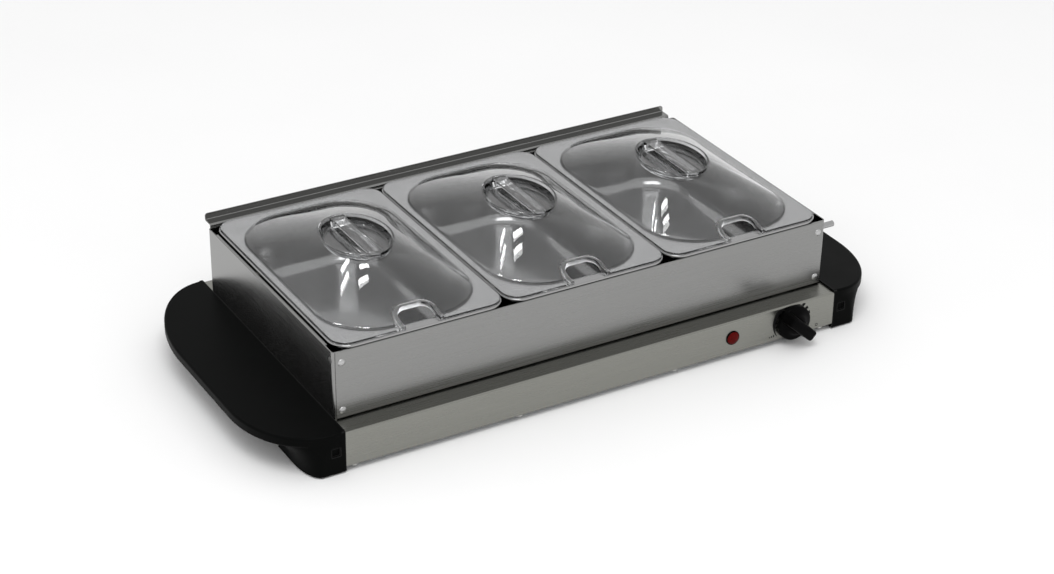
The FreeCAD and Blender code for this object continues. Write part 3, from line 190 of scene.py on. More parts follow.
def plain_metal(name, colour, rough, grain=400.0):
    """Small plated or cast metal pieces: mottled tone and a fine bump."""
    m = Nodes(name)
    mottle = m.noise(grain, detail=4.0)
    dark = [c * 0.8 for c in colour]
    m.join(m.tint(m.span(mottle, 0.0, 1.0), dark, colour), MIX_RESULT, m.shader, "Base Color")
    m.join(m.span(mottle, rough, rough + 0.12), "Result", m.shader, "Roughness")
    m.set(Metallic=1.0)
    m.bump(mottle, 0.00002, 0.4)
    return m.material


# Painted highlight along sharp edges, standing for the sheen of light on them: its width, and where its
# mask starts and is full.
SHEEN_WIDTH = 0.0015
SHEEN_STARTS = 0.995
SHEEN_FULL = 0.9


def painted_edge_sheen(m, colour, sheen_colour):
    """Mix a lighter colour in where the surface bends sharply: a painted highlight for the sheen that
    light makes along a rounded edge.

    The mask is how far the rounded normal agrees with the plain one, from SHEEN_STARTS to SHEEN_FULL.
    """
    soft = m.add("ShaderNodeBevel", samples=6)
    soft.inputs["Radius"].default_value = SHEEN_WIDTH
    plain = m.add("ShaderNodeNewGeometry")
    compare = m.add("ShaderNodeVectorMath", operation="DOT_PRODUCT")
    m.join(soft, "Normal", compare, 0)
    m.join(plain, "Normal", compare, 1)
    mask = m.add("ShaderNodeMapRange")
    mask.inputs["From Min"].default_value = SHEEN_STARTS
    mask.inputs["From Max"].default_value = SHEEN_FULL
    m.join(compare, "Value", mask, "Value")
    mix = m.add("ShaderNodeMix", data_type="RGBA")
    m.join(mask, "Result", mix, MIX_FACTOR)
    m.join(colour, MIX_RESULT, mix, MIX_A)
    mix.inputs[MIX_B].default_value = (*sheen_colour, 1)
    m.join(mix, MIX_RESULT, m.shader, "Base Color")


def moulded(name, colour, rough, gloss=0.12, grain=1500.0, sheen_colour=None):
    """Moulded plastic or rubber: a fine spark texture, and dust that lightens it a little."""
    m = Nodes(name)
    spark = m.noise(grain, detail=2.0)
    dust = m.noise(30.0, detail=6.0, rough=0.6)
    light = [c * 1.35 + 0.0006 for c in colour]
    tone = m.tint(m.span(dust, 0.0, 1.0), colour, light)
    m.join(tone, MIX_RESULT, m.shader, "Base Color")
    # Painted highlight: a lighter colour along sharp edges for the sheen of light on them.
    if sheen_colour:
        painted_edge_sheen(m, tone, sheen_colour)
    m.join(m.span(dust, rough, rough + 0.08), "Result", m.shader, "Roughness")
    m.set(Specular_IOR_Level=gloss)
    m.bump(spark, 0.00003, 0.5)
    return m.material


FROST_ROUGHNESS = 0.3


def clear_plastic(name):
    """Clear lid plastic: it refracts, lets light through to the pan, and has faint handling marks.

    Its roughness rises where a mesh's frost attribute does.
    """
    m = Nodes(name)
    marks = m.noise(45.0, detail=6.0, rough=0.65)
    frost = m.add("ShaderNodeAttribute", attribute_name="frost")
    rough = m.add("ShaderNodeMath", operation="MULTIPLY_ADD")
    rough.inputs[1].default_value = FROST_ROUGHNESS
    m.join(frost, "Fac", rough, 0)
    m.join(m.span(marks, 0.004, 0.014), "Result", rough, 2)
    m.join(rough, "Value", m.shader, "Roughness")
    m.set(Base_Color=(0.97, 0.975, 0.98, 1), IOR=1.45, Transmission_Weight=1.0)
    flow = m.noise(14.0, detail=1.0)
    m.bump(flow, 0.0002, 0.05)
    through = m.add("ShaderNodeBsdfTransparent")
    through.inputs["Color"].default_value = (0.93, 0.94, 0.95, 1)
    path = m.add("ShaderNodeLightPath")
    mix = m.add("ShaderNodeMixShader")
    m.join(path, "Is Shadow Ray", mix, "Fac")
    m.tree.links.new(m.shader.outputs[0], mix.inputs[1])
    m.tree.links.new(through.outputs[0], mix.inputs[2])
    m.join(mix, "Shader", m.output, "Surface")
    return m.material


def lamp_lens(name):
    """Dark red lens with a cloudy tone and a rippled face."""
    m = Nodes(name)
    cloud = m.noise(300.0, detail=3.0)
    red = m.tint(m.span(cloud, 0.0, 1.0), (0.06, 0.0006, 0.0006), (0.105, 0.0016, 0.001))
    m.join(red, MIX_RESULT, m.shader, "Base Color")
    m.join(m.span(cloud, 0.12, 0.2), "Result", m.shader, "Roughness")
    m.set(Specular_IOR_Level=0.06)
    m.bump(cloud, 0.00008, 0.4)
    return m.material


STEEL = (0.29, 0.29, 0.285)
materials = {
    "fascia_steel": brushed("fascia_steel", (0.268, 0.268, 0.245), 0),
    "frame_steel": brushed("frame_steel", STEEL, 0),
    "side_steel": brushed("side_steel", STEEL, 1, rough=(0.2, 0.25), depth=0.000004),
    "rail_steel": brushed("rail_steel", (0.26, 0.26, 0.255), 0, rough=(0.1, 0.16), depth=0.000008),
    # The pan's second colour is painted shade for the inside of the bowl.
    "pan_steel": pressed("pan_steel", (0.38, 0.38, 0.38), (0.25, 0.25, 0.25), 85, 105, (0.13, 0.19)),
    "rod_steel": brushed("rod_steel", (0.4, 0.4, 0.4), 0),
    "clear_lid_plastic": clear_plastic("clear_lid_plastic"),
    # The handles' lighter edge colour is a painted highlight for the sheen along their rounded edges.
    "black_handle_plastic": moulded("black_handle_plastic", (0.0012, 0.0014, 0.0013), 0.4, gloss=0.03,
                                    sheen_colour=(0.02, 0.02, 0.02)),
    "knob_plastic": moulded("knob_plastic", (0.0006, 0.0006, 0.0006), 0.3, gloss=0.035),
    "lamp_lens": lamp_lens("lamp_lens"),
    "dial_ink": moulded("dial_ink", (0.004, 0.004, 0.004), 0.5, gloss=0.1, grain=900.0),
    "foot_rubber": moulded("foot_rubber", (0.01, 0.01, 0.01), 0.7, grain=600.0),
    "zinc_screws": plain_metal("zinc_screws", (0.62, 0.62, 0.6), 0.25),
    "rivet_aluminium": plain_metal("rivet_aluminium", (0.55, 0.55, 0.55), 0.3),
    "galvanised_steel": plain_metal("galvanised_steel", (0.5, 0.52, 0.53), 0.35, grain=90.0),
    "spreader_aluminium": brushed("spreader_aluminium", (0.7, 0.7, 0.7), 0),
    "element_sheath": plain_metal("element_sheath", (0.24, 0.21, 0.18), 0.4, grain=150.0),
    "switch_plastic": moulded("switch_plastic", (0.03, 0.026, 0.022), 0.45, gloss=0.3),
    "contact_brass": plain_metal("contact_brass", (0.68, 0.5, 0.2), 0.25),
    "live_insulation": moulded("live_insulation", (0.13, 0.05, 0.02), 0.45, gloss=0.3),
    "neutral_insulation": moulded("neutral_insulation", (0.02, 0.06, 0.28), 0.45, gloss=0.3),
    "earth_insulation": moulded("earth_insulation", (0.16, 0.3, 0.03), 0.45, gloss=0.3),
    "lamp_insulation": moulded("lamp_insulation", (0.45, 0.44, 0.4), 0.45, gloss=0.3),
}
slots = {row["node"]: row["material_slot"] for row in frame["record"]["subparts"]}
bodies = frame["record"]["behaviour"]["bodies"]
OWN_FINISH = {
    "frame_left_panel": "side_steel", "frame_right_panel": "side_steel", "lid_rest_rail": "rail_steel",
}
for name, node in frame["nodes"].items():
    node.data.materials.clear()
    node.data.materials.append(materials[OWN_FINISH.get(name, slots[name])])


# ---------------------------------------------------------------- softened edges on CAD nodes

SHARP_ANGLE = math.radians(35)


def soften(name, width):
    """Round a CAD node's sharp edges a little, and shade it smooth between them."""
    node = frame["nodes"][name]
    node.data.shade_smooth()
    bevel = node.modifiers.new("soft_edges", "BEVEL")
    bevel.width = width * MM
    bevel.segments = 2
    bevel.limit_method = "ANGLE"
    bevel.angle_limit = SHARP_ANGLE
    bevel.harden_normals = True


SOFT_EDGES = {
    "base_housing": 0.25, "frame_front_panel": 0.3, "frame_rear_panel": 0.3, "frame_left_panel": 0.3,
    "frame_right_panel": 0.3, "lid_rest_rail": 0.3, "stiffener_rod": 0.8, "rubber_feet": 0.6,
    "left_handle": 0.6, "right_handle": 0.6, "appliance_inlet": 0.5, "handle_screws": 0.4,
    "cover_screws": 0.4, "inlet_screws": 0.4, "earth_screw": 0.4,
}
for name, width in SOFT_EDGES.items():
    soften(name, width)


# ---------------------------------------------------------------- mesh helpers

def millimetres(name):
    """A CAD node's lowest and highest corners, in millimetres."""
    low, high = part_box(name)
    return low / MM, high / MM


def add_ring(bm, points):
    return [bm.verts.new(point) for point in points]


def bridge(bm, first, second):
    """A band of faces between two rings with the same number of points."""
    count = len(first)
    for index in range(count):
        after = (index + 1) % count
        bm.faces.new((first[index], first[after], second[after], second[index]))


def close(bm, ring, centre):
    """A fan of faces from a ring to its middle."""
    middle = bm.verts.new(centre)
    for index, vertex in enumerate(ring):
        bm.faces.new((vertex, ring[(index + 1) % len(ring)], middle))


def make_piece(bm, name, node, replaced=(), sharp=40, matrix=None):
    """Turn a bmesh in millimetres into a piece with the finish and the body of a CAD node."""
    bmesh.ops.recalc_face_normals(bm, faces=bm.faces)
    bmesh.ops.transform(bm, matrix=Matrix.Scale(MM, 4) @ (matrix or Matrix.Identity(4)), verts=bm.verts)
    mesh = bpy.data.meshes.new(name)
    bm.to_mesh(mesh)
    bm.free()
    mesh.shade_smooth()
    mesh.set_sharp_from_angle(angle=math.radians(sharp))
    mesh.materials.append(materials[slots[node]])
    piece = bpy.data.objects.new(name, mesh)
    bpy.context.scene.collection.objects.link(piece)
    body = next(word for word, names in bodies.items() if node in names)
    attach(piece, body)
    if replaced:
        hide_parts(*replaced)
    return piece


def turned_ring(radius, height, steps):
    """Points of a circle about local Z."""
    turns = [math.tau * step / steps for step in range(steps)]
    return [Vector((radius * math.cos(a), radius * math.sin(a), height)) for a in turns]


def lathe(bm, profile, steps=64, place=None):
    """A closed solid of revolution about local Z, from (radius, height) pairs.

    The first and the last pair are on the axis.
    """
    place = place or Matrix.Identity(4)
    rings = []
    for radius, height in profile[1:-1]:
        rings.append(add_ring(bm, [place @ point for point in turned_ring(radius, height, steps)]))
    for first, second in zip(rings, rings[1:]):
        bridge(bm, first, second)
    close(bm, rings[0], place @ Vector((0, 0, profile[0][1])))
    close(bm, rings[-1], place @ Vector((0, 0, profile[-1][1])))


def rounded_ring(x, y, half_x, half_y, radius, z, arc_steps=10, side_steps=6):
    """Points of a rounded rectangle, the same number for every size."""
    points = []
    corners = ((1, -1), (1, 1), (-1, 1), (-1, -1))
    for index, (side_x, side_y) in enumerate(corners):
        centre = Vector((x + side_x * (half_x - radius), y + side_y * (half_y - radius), z))
        start = (index - 1) * math.pi / 2
        for step in range(arc_steps + 1):
            angle = start + math.pi / 2 * step / arc_steps
            points.append(centre + radius * Vector((math.cos(angle), math.sin(angle), 0)))
        after_x, after_y = corners[(index + 1) % 4]
        angle = start + math.pi / 2
        target = Vector((x + after_x * (half_x - radius), y + after_y * (half_y - radius), z))
        target += radius * Vector((math.cos(angle), math.sin(angle), 0))
        last = points[-1]
        for step in range(1, side_steps):
            points.append(last.lerp(target, step / side_steps))
    return points


def outward(x, y, z, turn=0.0):
    """A place on the front face: local Z points at the user, local X turns clockwise from the right."""
    spin = Matrix.Rotation(-turn, 4, "Z")
    return Matrix.Translation((x, y, z)) @ Matrix.Rotation(math.pi / 2, 4, "X") @ spin


# ---------------------------------------------------------------- pans

DRAFT = math.radians(8)
PAN_DEPTH = 57
MOUTH = (71.5, 116)
MOUTH_CORNER = 50
MOUTH_ROUND = 1.8
FLOOR_ROUND = 12
FLOOR_DOME = 0.8
FLOOR_SHARES = (0.2, 0.4, 0.6, 0.8)
RIM_CORNER = 17
RIM_EDGE = 1.1
ROLL_WIDTH = 2
ROLL_HEIGHT = 2.5
ROLL_ROUND = 0.4
PAN_SHEET = 1
OUTER_BEND_SHIFT = 0.15
MOUTH_STEPS = 6
FLOOR_STEPS = 8
RIM_STEPS = 4


def bowl_section(top, skin):
    """Inset from the mouth's line and height, from the rim to the floor; skin 0 inside, 1 outside."""
    points = []
    centre = -MOUTH_ROUND * math.tan((math.pi / 2 - DRAFT) / 2) - skin * OUTER_BEND_SHIFT
    round_off = MOUTH_ROUND - skin
    for step in range(MOUTH_STEPS + 1):
        angle = (math.pi / 2 - DRAFT) * step / MOUTH_STEPS
        inset = centre + round_off * math.sin(angle)
        points.append((inset, top - MOUTH_ROUND + round_off * math.cos(angle)))
    level = PAN_DEPTH - FLOOR_ROUND
    middle = level * math.tan(DRAFT) + FLOOR_ROUND / math.cos(DRAFT)
    swing = FLOOR_ROUND + skin
    for step in range(FLOOR_STEPS + 1):
        angle = DRAFT + (math.pi / 2 - DRAFT) * step / FLOOR_STEPS
        points.append((middle - swing * math.cos(angle), top - level - swing * math.sin(angle)))
    return points


def make_pan(name):
    """A pressed pan as one closed shell: rolled edge, flat rim, drafted bowl and slightly domed floor."""
    low, high = millimetres(name)
    x, y, top = (low.x + high.x) / 2, (low.y + high.y) / 2, high.z
    half_x, half_y = (high.x - low.x) / 2, (high.y - low.y) / 2
    seat = top - ROLL_HEIGHT
    bm = bmesh.new()
    rings = []

    def rim_ring(inset, z):
        rings.append(add_ring(bm, rounded_ring(
            x, y, half_x - inset, half_y - inset, RIM_CORNER - inset, z)))

    def bowl_ring(inset, z):
        rings.append(add_ring(bm, rounded_ring(
            x, y, MOUTH[0] - inset, MOUTH[1] - inset, MOUTH_CORNER - inset, z)))

    def floor_rings(inset, z, shares):
        for share in shares:
            grow = 1 - share
            lift = FLOOR_DOME * (1 - math.cos(math.pi * share)) / 2
            rings.append(add_ring(bm, rounded_ring(
                x, y, (MOUTH[0] - inset) * grow, (MOUTH[1] - inset) * grow,
                (MOUTH_CORNER - inset) * grow, z + lift)))

    inside, outside = bowl_section(top, 0), bowl_section(top, PAN_SHEET)
    floor_rings(*inside[-1], reversed(FLOOR_SHARES))
    for inset, z in reversed(inside):
        bowl_ring(inset, z)
    for step in range(RIM_STEPS + 1):
        angle = math.pi / 2 * step / RIM_STEPS
        rim_ring(RIM_EDGE * (1 - math.sin(angle)), top - RIM_EDGE * (1 - math.cos(angle)))
    rim_ring(0, seat + ROLL_ROUND)
    rim_ring(ROLL_ROUND, seat)
    rim_ring(ROLL_WIDTH - ROLL_ROUND, seat)
    rim_ring(ROLL_WIDTH, seat + ROLL_ROUND)
    rim_ring(ROLL_WIDTH, top - PAN_SHEET)
    for inset, z in outside:
        bowl_ring(inset, z)
    floor_rings(*outside[-1], FLOOR_SHARES)
    for first, second in zip(rings, rings[1:]):
        bridge(bm, first, second)
    close(bm, rings[0], Vector((x, y, inside[-1][1] + FLOOR_DOME)))
    close(bm, rings[-1], Vector((x, y, outside[-1][1] + FLOOR_DOME)))
    make_piece(bm, name.replace("pan_", "pressed_pan_"), name, [name], sharp=60)


for word in ("left", "middle", "right"):
    make_pan(f"pan_{word}")


# ---------------------------------------------------------------- lids

lid_low, lid_high = millimetres("lid_left")
LID_SIZE = ((lid_high.x - lid_low.x) / 2, (lid_high.y - lid_low.y) / 2)
LID_SHEET = 1.8
LID_CORNER = 15.8
LID_EDGE = 0.5
LID_CLEAR = 0.2
CROWN_RISE = 24
CROWN_TURN = math.radians(55)
CROWN_CORNER_TOP = 26
CROWN_LEAN = 0.4
CROWN_STEPS = 18
CROWN_SPACING = 1.3
CROWN_TOP = (30, 41.2)
CROWN_FOOT_LIFT = 0.3
CROWN_FILLET = ((4, 0), (1.6, 0.02), (0.7, 0.1))
HOLLOW_TOP = (28, 39)
LID_ARC_STEPS = 12
LID_SIDE_STEPS = 12
GRIP = (31.5, 42)
GRIP_TOP = 29
GRIP_DRAFT = 4
GRIP_EDGE = ((2, 0), (0.5, 0), (0.15, 0.15), (0, 0.5))
GRIP_SPACING = 0.9
WELL_FLOOR = 21
WELL_STEPS = 40
TUB_EDGE = ((0, 1.2), (0.3, 0.35), (1.2, 0))
BAR_HALF = 7
GROOVE_CORNER = 2
GROOVE_PAST = 3
NOTCH_HALF = 16
NOTCH_LENGTH = 22.5
NOTCH_CORNER = 9
NOTCH_DRAFT = 3
NOTCH_LEVELS = (-5, 40)
BORDER = 4.5
BORDER_RISE = 1.5
BORDER_LEVELS = (LID_SHEET / 2, 30)
BEYOND = 20
CUT_PAST = 2
CAVITY_FOOT = -5
WELD = 0.005


def ring_solid(rings):
    """A temporary closed object from a stack of rings, in millimetres."""
    bm = bmesh.new()
    made = [add_ring(bm, ring) for ring in rings]
    for first, second in zip(made, made[1:]):
        bridge(bm, first, second)
    bm.faces.new(made[0])
    bm.faces.new(made[-1])
    bmesh.ops.recalc_face_normals(bm, faces=bm.faces)
    mesh = bpy.data.meshes.new("step")
    bm.to_mesh(mesh)
    bm.free()
    item = bpy.data.objects.new("step", mesh)
    bpy.context.scene.collection.objects.link(item)
    return item


def combine(base, tool, operation):
    """Join, cut or intersect two temporary objects. The first becomes the result."""
    step = base.modifiers.new("step", "BOOLEAN")
    step.operation = operation
    step.solver = "EXACT"
    step.object = tool
    graph = bpy.context.evaluated_depsgraph_get()
    result = bpy.data.meshes.new_from_object(base.evaluated_get(graph))
    base.modifiers.clear()
    base.data = result
    bpy.data.objects.remove(tool)
    return base


def lid_ring(half_x, half_y, radius, z, oval=0.0):
    """A rounded rectangle round the lid's middle, drawn by a share towards the oval of the same size."""
    points = []
    for point in rounded_ring(0, 0, half_x, half_y, radius, z, LID_ARC_STEPS, LID_SIDE_STEPS):
        reach = math.hypot(point.x / half_x, point.y / half_y)
        points.append(point.lerp(Vector((point.x / reach, point.y / reach, z)), oval))
    return points


def crown_rings(outset, top):
    """Rings up the crown, from its foot round the pan's mouth to the oval of the grip."""
    side = outset * CROWN_LEAN
    rings = []
    for step in range(CROWN_STEPS + 1):
        share = (step / CROWN_STEPS) ** CROWN_SPACING
        z = outset + CROWN_RISE * math.sin(share * CROWN_TURN) / math.sin(CROWN_TURN)
        half_x = MOUTH[0] + side + (top[0] - MOUTH[0] - side) * share
        half_y = MOUTH[1] + side + (top[1] - MOUTH[1] - side) * share
        corner = MOUTH_CORNER + side + (CROWN_CORNER_TOP - MOUTH_CORNER - side) * share
        rings.append(lid_ring(half_x, half_y, min(corner, half_x), z, share ** 2))
    return rings


def grip_draft(z):
    """How much the grip's oval has narrowed at a height, from its top downwards."""
    return (GRIP_TOP - z) * GRIP_DRAFT / (GRIP_TOP - WELL_FLOOR + LID_SHEET)


def grip_rings(levels):
    """Rings of the grip's oval, from pairs of a height and an extra inset."""
    rings = []
    for z, extra in levels:
        fall = grip_draft(z) + extra
        half_x, half_y = GRIP[0] - fall, GRIP[1] - fall
        rings.append(lid_ring(half_x, half_y, half_x * GRIP_SPACING, z, 1.0))
    return rings


def outer_lid(raised):
    """The lid's outside as a full solid: flange, crown and grip, with no hollow.

    Raised by a height, it has no grip, and the notch's border is cut from it.
    """
    half_x, half_y = LID_SIZE
    inset = LID_EDGE if raised else 0
    top = LID_SHEET + raised
    rings = []
    low = LID_CLEAR
    for level, step in ((low, LID_EDGE), (low + LID_EDGE, 0), (top - LID_EDGE, 0), (top, LID_EDGE)):
        back = inset + step
        rings.append(lid_ring(half_x - back, half_y - back, LID_CORNER - back, level))
    crown = crown_rings(top, CROWN_TOP)
    side = top * CROWN_LEAN
    for away, lift in CROWN_FILLET:
        grow = side + away
        rings.append(lid_ring(MOUTH[0] + grow, MOUTH[1] + grow, MOUTH_CORNER + grow, top + lift))
    for point in crown[0]:
        point.z += CROWN_FOOT_LIFT
    rings += crown
    if not raised:
        rings += grip_rings([(GRIP_TOP - down, extra) for down, extra in GRIP_EDGE])
    return ring_solid(rings)


def cavity():
    """The hollow under the crown, round the outside of the finger wells."""
    foot = lid_ring(*MOUTH, MOUTH_CORNER, CAVITY_FOOT)
    hollow = ring_solid([foot] + crown_rings(0, HOLLOW_TOP))
    low = WELL_FLOOR - LID_SHEET
    levels = [(low + up, extra) for up, extra in TUB_EDGE]
    levels.append((GRIP_TOP + CUT_PAST, 0))
    return combine(hollow, ring_solid(grip_rings(levels)), "DIFFERENCE")


def finger_well(side):
    """One finger well: the part of the grip's oval on one side of the bar."""
    rings = []
    levels = ((WELL_FLOOR, 1.5), (WELL_FLOOR + 0.4, 0.5), (WELL_FLOOR + 1.5, 0), (GRIP_TOP - 0.4, 0),
              (GRIP_TOP, -0.35), (GRIP_TOP + CUT_PAST, -0.35))
    for z, extra in levels:
        fall = grip_draft(z) + LID_SHEET + extra
        half_x, half_y = GRIP[0] - fall, GRIP[1] - fall
        bar = BAR_HALF + extra
        turn = math.acos(bar / half_x)
        angles = [turn * (2 * step / WELL_STEPS - 1) for step in range(WELL_STEPS + 1)]
        rings.append([Vector((side * half_x * math.cos(a), half_y * math.sin(a), z)) for a in angles])
    return ring_solid(rings)


def groove():
    """The hollow under the bar between the finger wells."""
    half_x, half_y = BAR_HALF - LID_SHEET, GRIP[1] - GRIP_DRAFT - 2 * LID_SHEET
    low, high = WELL_FLOOR - LID_SHEET - GROOVE_PAST, GRIP_TOP - LID_SHEET
    return ring_solid([rounded_ring(0, 0, half_x, half_y, GROOVE_CORNER, z) for z in (low, high)])


def notch(border, levels, draft):
    """A slot from beyond the front edge with two round inner corners. Its top is wider by the draft."""
    rings = []
    for z, grow in zip(levels, (0, draft)):
        wide, length = NOTCH_HALF + border + grow, NOTCH_LENGTH + border + grow
        middle = -LID_SIZE[1] + (length - BEYOND) / 2
        corner = NOTCH_CORNER + border + grow
        rings.append(rounded_ring(0, middle, wide, (length + BEYOND) / 2, corner, z))
    return ring_solid(rings)


def lid_mesh():
    """A clear lid: flange, crown, grip with two finger wells, and a spoon notch with a raised border.

    The border's faces carry the frost attribute that the lid's plastic reads.
    """
    edge = notch(BORDER, BORDER_LEVELS, -NOTCH_DRAFT)
    border = combine(outer_lid(BORDER_RISE), edge, "INTERSECT")
    shape = combine(outer_lid(0), border, "UNION")
    slot = notch(0, NOTCH_LEVELS, NOTCH_DRAFT)
    for tool in (cavity(), finger_well(-1), finger_well(1), groove(), slot):
        shape = combine(shape, tool, "DIFFERENCE")
    bm = bmesh.new()
    bm.from_mesh(shape.data)
    bpy.data.objects.remove(shape)
    bmesh.ops.remove_doubles(bm, verts=bm.verts, dist=WELD)
    frost = bm.faces.layers.float.new("frost")
    corner = NOTCH_CORNER + BORDER
    for face in bm.faces:
        middle = face.calc_center_median()
        past_x = max(abs(middle.x) - NOTCH_HALF - BORDER + corner, 0)
        past_y = max(middle.y + LID_SIZE[1] - NOTCH_LENGTH - BORDER + corner, 0)
        face[frost] = 1.0 if math.hypot(past_x, past_y) < corner else 0.0
    return bm


def make_lids():
    """The same moulding on each of the three pans."""
    pattern = lid_mesh()
    lids = []
    for word in ("left", "middle", "right"):
        node = f"lid_{word}"
        low, high = millimetres(node)
        place = Matrix.Translation(((low.x + high.x) / 2, (low.y + high.y) / 2, low.z))
        piece = make_piece(pattern.copy(), f"moulded_lid_{word}", node, [node], sharp=30, matrix=place)
        weighted = piece.modifiers.new("even_flats", "WEIGHTED_NORMAL")
        weighted.keep_sharp = True
        lids.append(piece)
    pattern.free()
    return lids


lid_pieces = make_lids()


# ---------------------------------------------------------------- knob, dial marks, lamp and rivets

shaft_low, shaft_high = millimetres("thermostat_shaft")
dial_x, dial_z = (shaft_low.x + shaft_high.x) / 2, (shaft_low.z + shaft_high.z) / 2
fascia_y = millimetres("base_housing")[0].y
OFF_ANGLE = math.radians(42.5)
DIAL_ROOM = 14.9
SKIRT = (
    (0, 0), (15.6, 0), (16.6, 0.25), (17, 0.8), (17, 4.2), (16.75, 5.0), (16.1, 5.5), (14.4, 5.9),
    (12.0, 6.7), (10.2, 8.0), (9.2, 9.6), (8.4, 11.0), (7.0, 12.0), (4.0, 12.5), (0, 12.6),
)
KNOB_BAR_FOOT = 3.5
KNOB_BAR_OFFSET = 0.3


def make_knob():
    """Turned skirt with a soft shoulder, and a straight grip across it with rounded edges."""
    low, high = millimetres("control_knob")
    reach = high.y - low.y
    bm = bmesh.new()
    lathe(bm, SKIRT)
    sections = (
        (KNOB_BAR_FOOT, 35.2, 12.4, 4), (7, 34.6, 11.4, 3.4), (12, 34.2, 10.8, 3),
        (reach - 1.6, 33.6, 10.4, 2.8), (reach - 0.7, 33.0, 9.9, 2.6),
        (reach - 0.2, 32.0, 8.9, 2.2), (reach, 30.4, 7.4, 1.6),
    )
    rings = []
    for height, length, width, radius in sections:
        outline = rounded_ring(KNOB_BAR_OFFSET, 0, length / 2, width / 2, radius, height, 5, 3)
        rings.append(add_ring(bm, outline))
    for first, second in zip(rings, rings[1:]):
        bridge(bm, first, second)
    close(bm, rings[0], Vector((KNOB_BAR_OFFSET, 0, KNOB_BAR_FOOT)))
    close(bm, rings[-1], Vector((KNOB_BAR_OFFSET, 0, reach)))
    place = outward(dial_x, high.y, dial_z, OFF_ANGLE)
    make_piece(bm, "turned_knob", "control_knob", ["control_knob"], sharp=50, matrix=place)


make_knob()


INK_HEIGHT = 0.12
BAND_ENDS = (217, 124)
BAND_INNER = (19.3, 16.5)
BAND_OUTER = (19.9, 21.8)
BLOCKS = ((47, 20.4), (29, 20.3), (11, 20.8))
BLOCK_HALF = 4.5
BLOCK_INNER = 17
LOW_BAR_HEIGHTS = (1.2, 1.8, 2.4)
LOW_BAR_WIDTH = 0.9
LOW_BAR_PITCH = 2.2
LOW_BARS_START = (-24.0, -12.2)
OFF_RING_CENTRE = (29, -12)
OFF_RING_RADII = (1.5, 1.0)
OFF_RING_STEPS = 12
OFF_RING_STEP_ANGLE = 15


def prism(bm, outline):
    """A printed mark as a very thin solid: its outline, and the same a little proud of the sheet."""
    front = add_ring(bm, [Vector((x, y, INK_HEIGHT)) for x, y in outline])
    back = add_ring(bm, [Vector((x, y, 0)) for x, y in outline])
    bm.faces.new(front)
    bm.faces.new(list(reversed(back)))
    bridge(bm, front, back)


def band(start, end, inner, outer, steps=24):
    """Outline of a band round the dial, cut off below the fascia's upper fold.

    The angles are in degrees. Each radius is a pair: its value at the start and at the end.
    """
    outer_edge, inner_edge = [], []
    for step in range(steps + 1):
        share = step / steps
        angle = math.radians(start + (end - start) * share)
        limit = DIAL_ROOM / max(math.sin(angle), 0.01)
        for edge, (first, last) in ((outer_edge, outer), (inner_edge, inner)):
            radius = min(first + (last - first) * share, limit)
            edge.append((radius * math.cos(angle), radius * math.sin(angle)))
    return outer_edge + inner_edge[::-1]


def arc_points(radius, angles):
    """Points round the off symbol's centre."""
    x, y = OFF_RING_CENTRE
    return [(x + radius * math.cos(a), y + radius * math.sin(a)) for a in angles]


def make_dial_marks():
    """Printed marks: a growing band, three blocks, and plain low and off symbols. No lettering."""
    bm = bmesh.new()
    prism(bm, band(*BAND_ENDS, BAND_INNER, BAND_OUTER))
    for middle, outer in BLOCKS:
        inner_pair, outer_pair = (BLOCK_INNER, BLOCK_INNER), (outer, outer)
        prism(bm, band(middle + BLOCK_HALF, middle - BLOCK_HALF, inner_pair, outer_pair, 5))
    for step, height in enumerate(LOW_BAR_HEIGHTS):
        left = LOW_BARS_START[0] + LOW_BAR_PITCH * step
        right, foot = left + LOW_BAR_WIDTH, LOW_BARS_START[1]
        prism(bm, [(left, foot), (right, foot), (right, foot + height), (left, foot + height)])
    for start in (0, 180):
        angles = [math.radians(start + OFF_RING_STEP_ANGLE * index) for index in range(OFF_RING_STEPS)]
        prism(bm, arc_points(OFF_RING_RADII[0], angles) + arc_points(OFF_RING_RADII[1], angles[::-1]))
    place = outward(dial_x, fascia_y, dial_z)
    piece = make_piece(bm, "dial_marks", "base_housing", matrix=place)
    piece.data.materials[0] = materials["dial_ink"]


make_dial_marks()


LAMP_STEPS = 48
LENS_STEPS = 8
LENS_EDGE = 0.9
LENS_FLATNESS = 0.8
LENS_STEP = 0.5
lens_low, lens_high = millimetres("pilot_lamp_lens")
lens_radius = (lens_high.x - lens_low.x) / 2
lamp_place = outward((lens_low.x + lens_high.x) / 2, fascia_y, (lens_low.z + lens_high.z) / 2)


def make_lens():
    """A red lens with a flattened dome and a slightly narrower body behind the fascia."""
    proud, depth = fascia_y - lens_low.y, lens_high.y - fascia_y
    profile = [(0, proud)]
    for step in range(1, LENS_STEPS + 1):
        angle = math.pi / 2 * step / LENS_STEPS
        height = LENS_EDGE + (proud - LENS_EDGE) * math.cos(angle)
        profile.append((lens_radius * math.sin(angle) ** LENS_FLATNESS, height))
    body = lens_radius - LENS_STEP
    profile += [(lens_radius, 0), (body, 0), (body, -depth), (0, -depth)]
    bm = bmesh.new()
    lathe(bm, profile, LAMP_STEPS)
    make_piece(bm, "domed_lens", "pilot_lamp_lens", ["pilot_lamp_lens"], sharp=50, matrix=lamp_place)


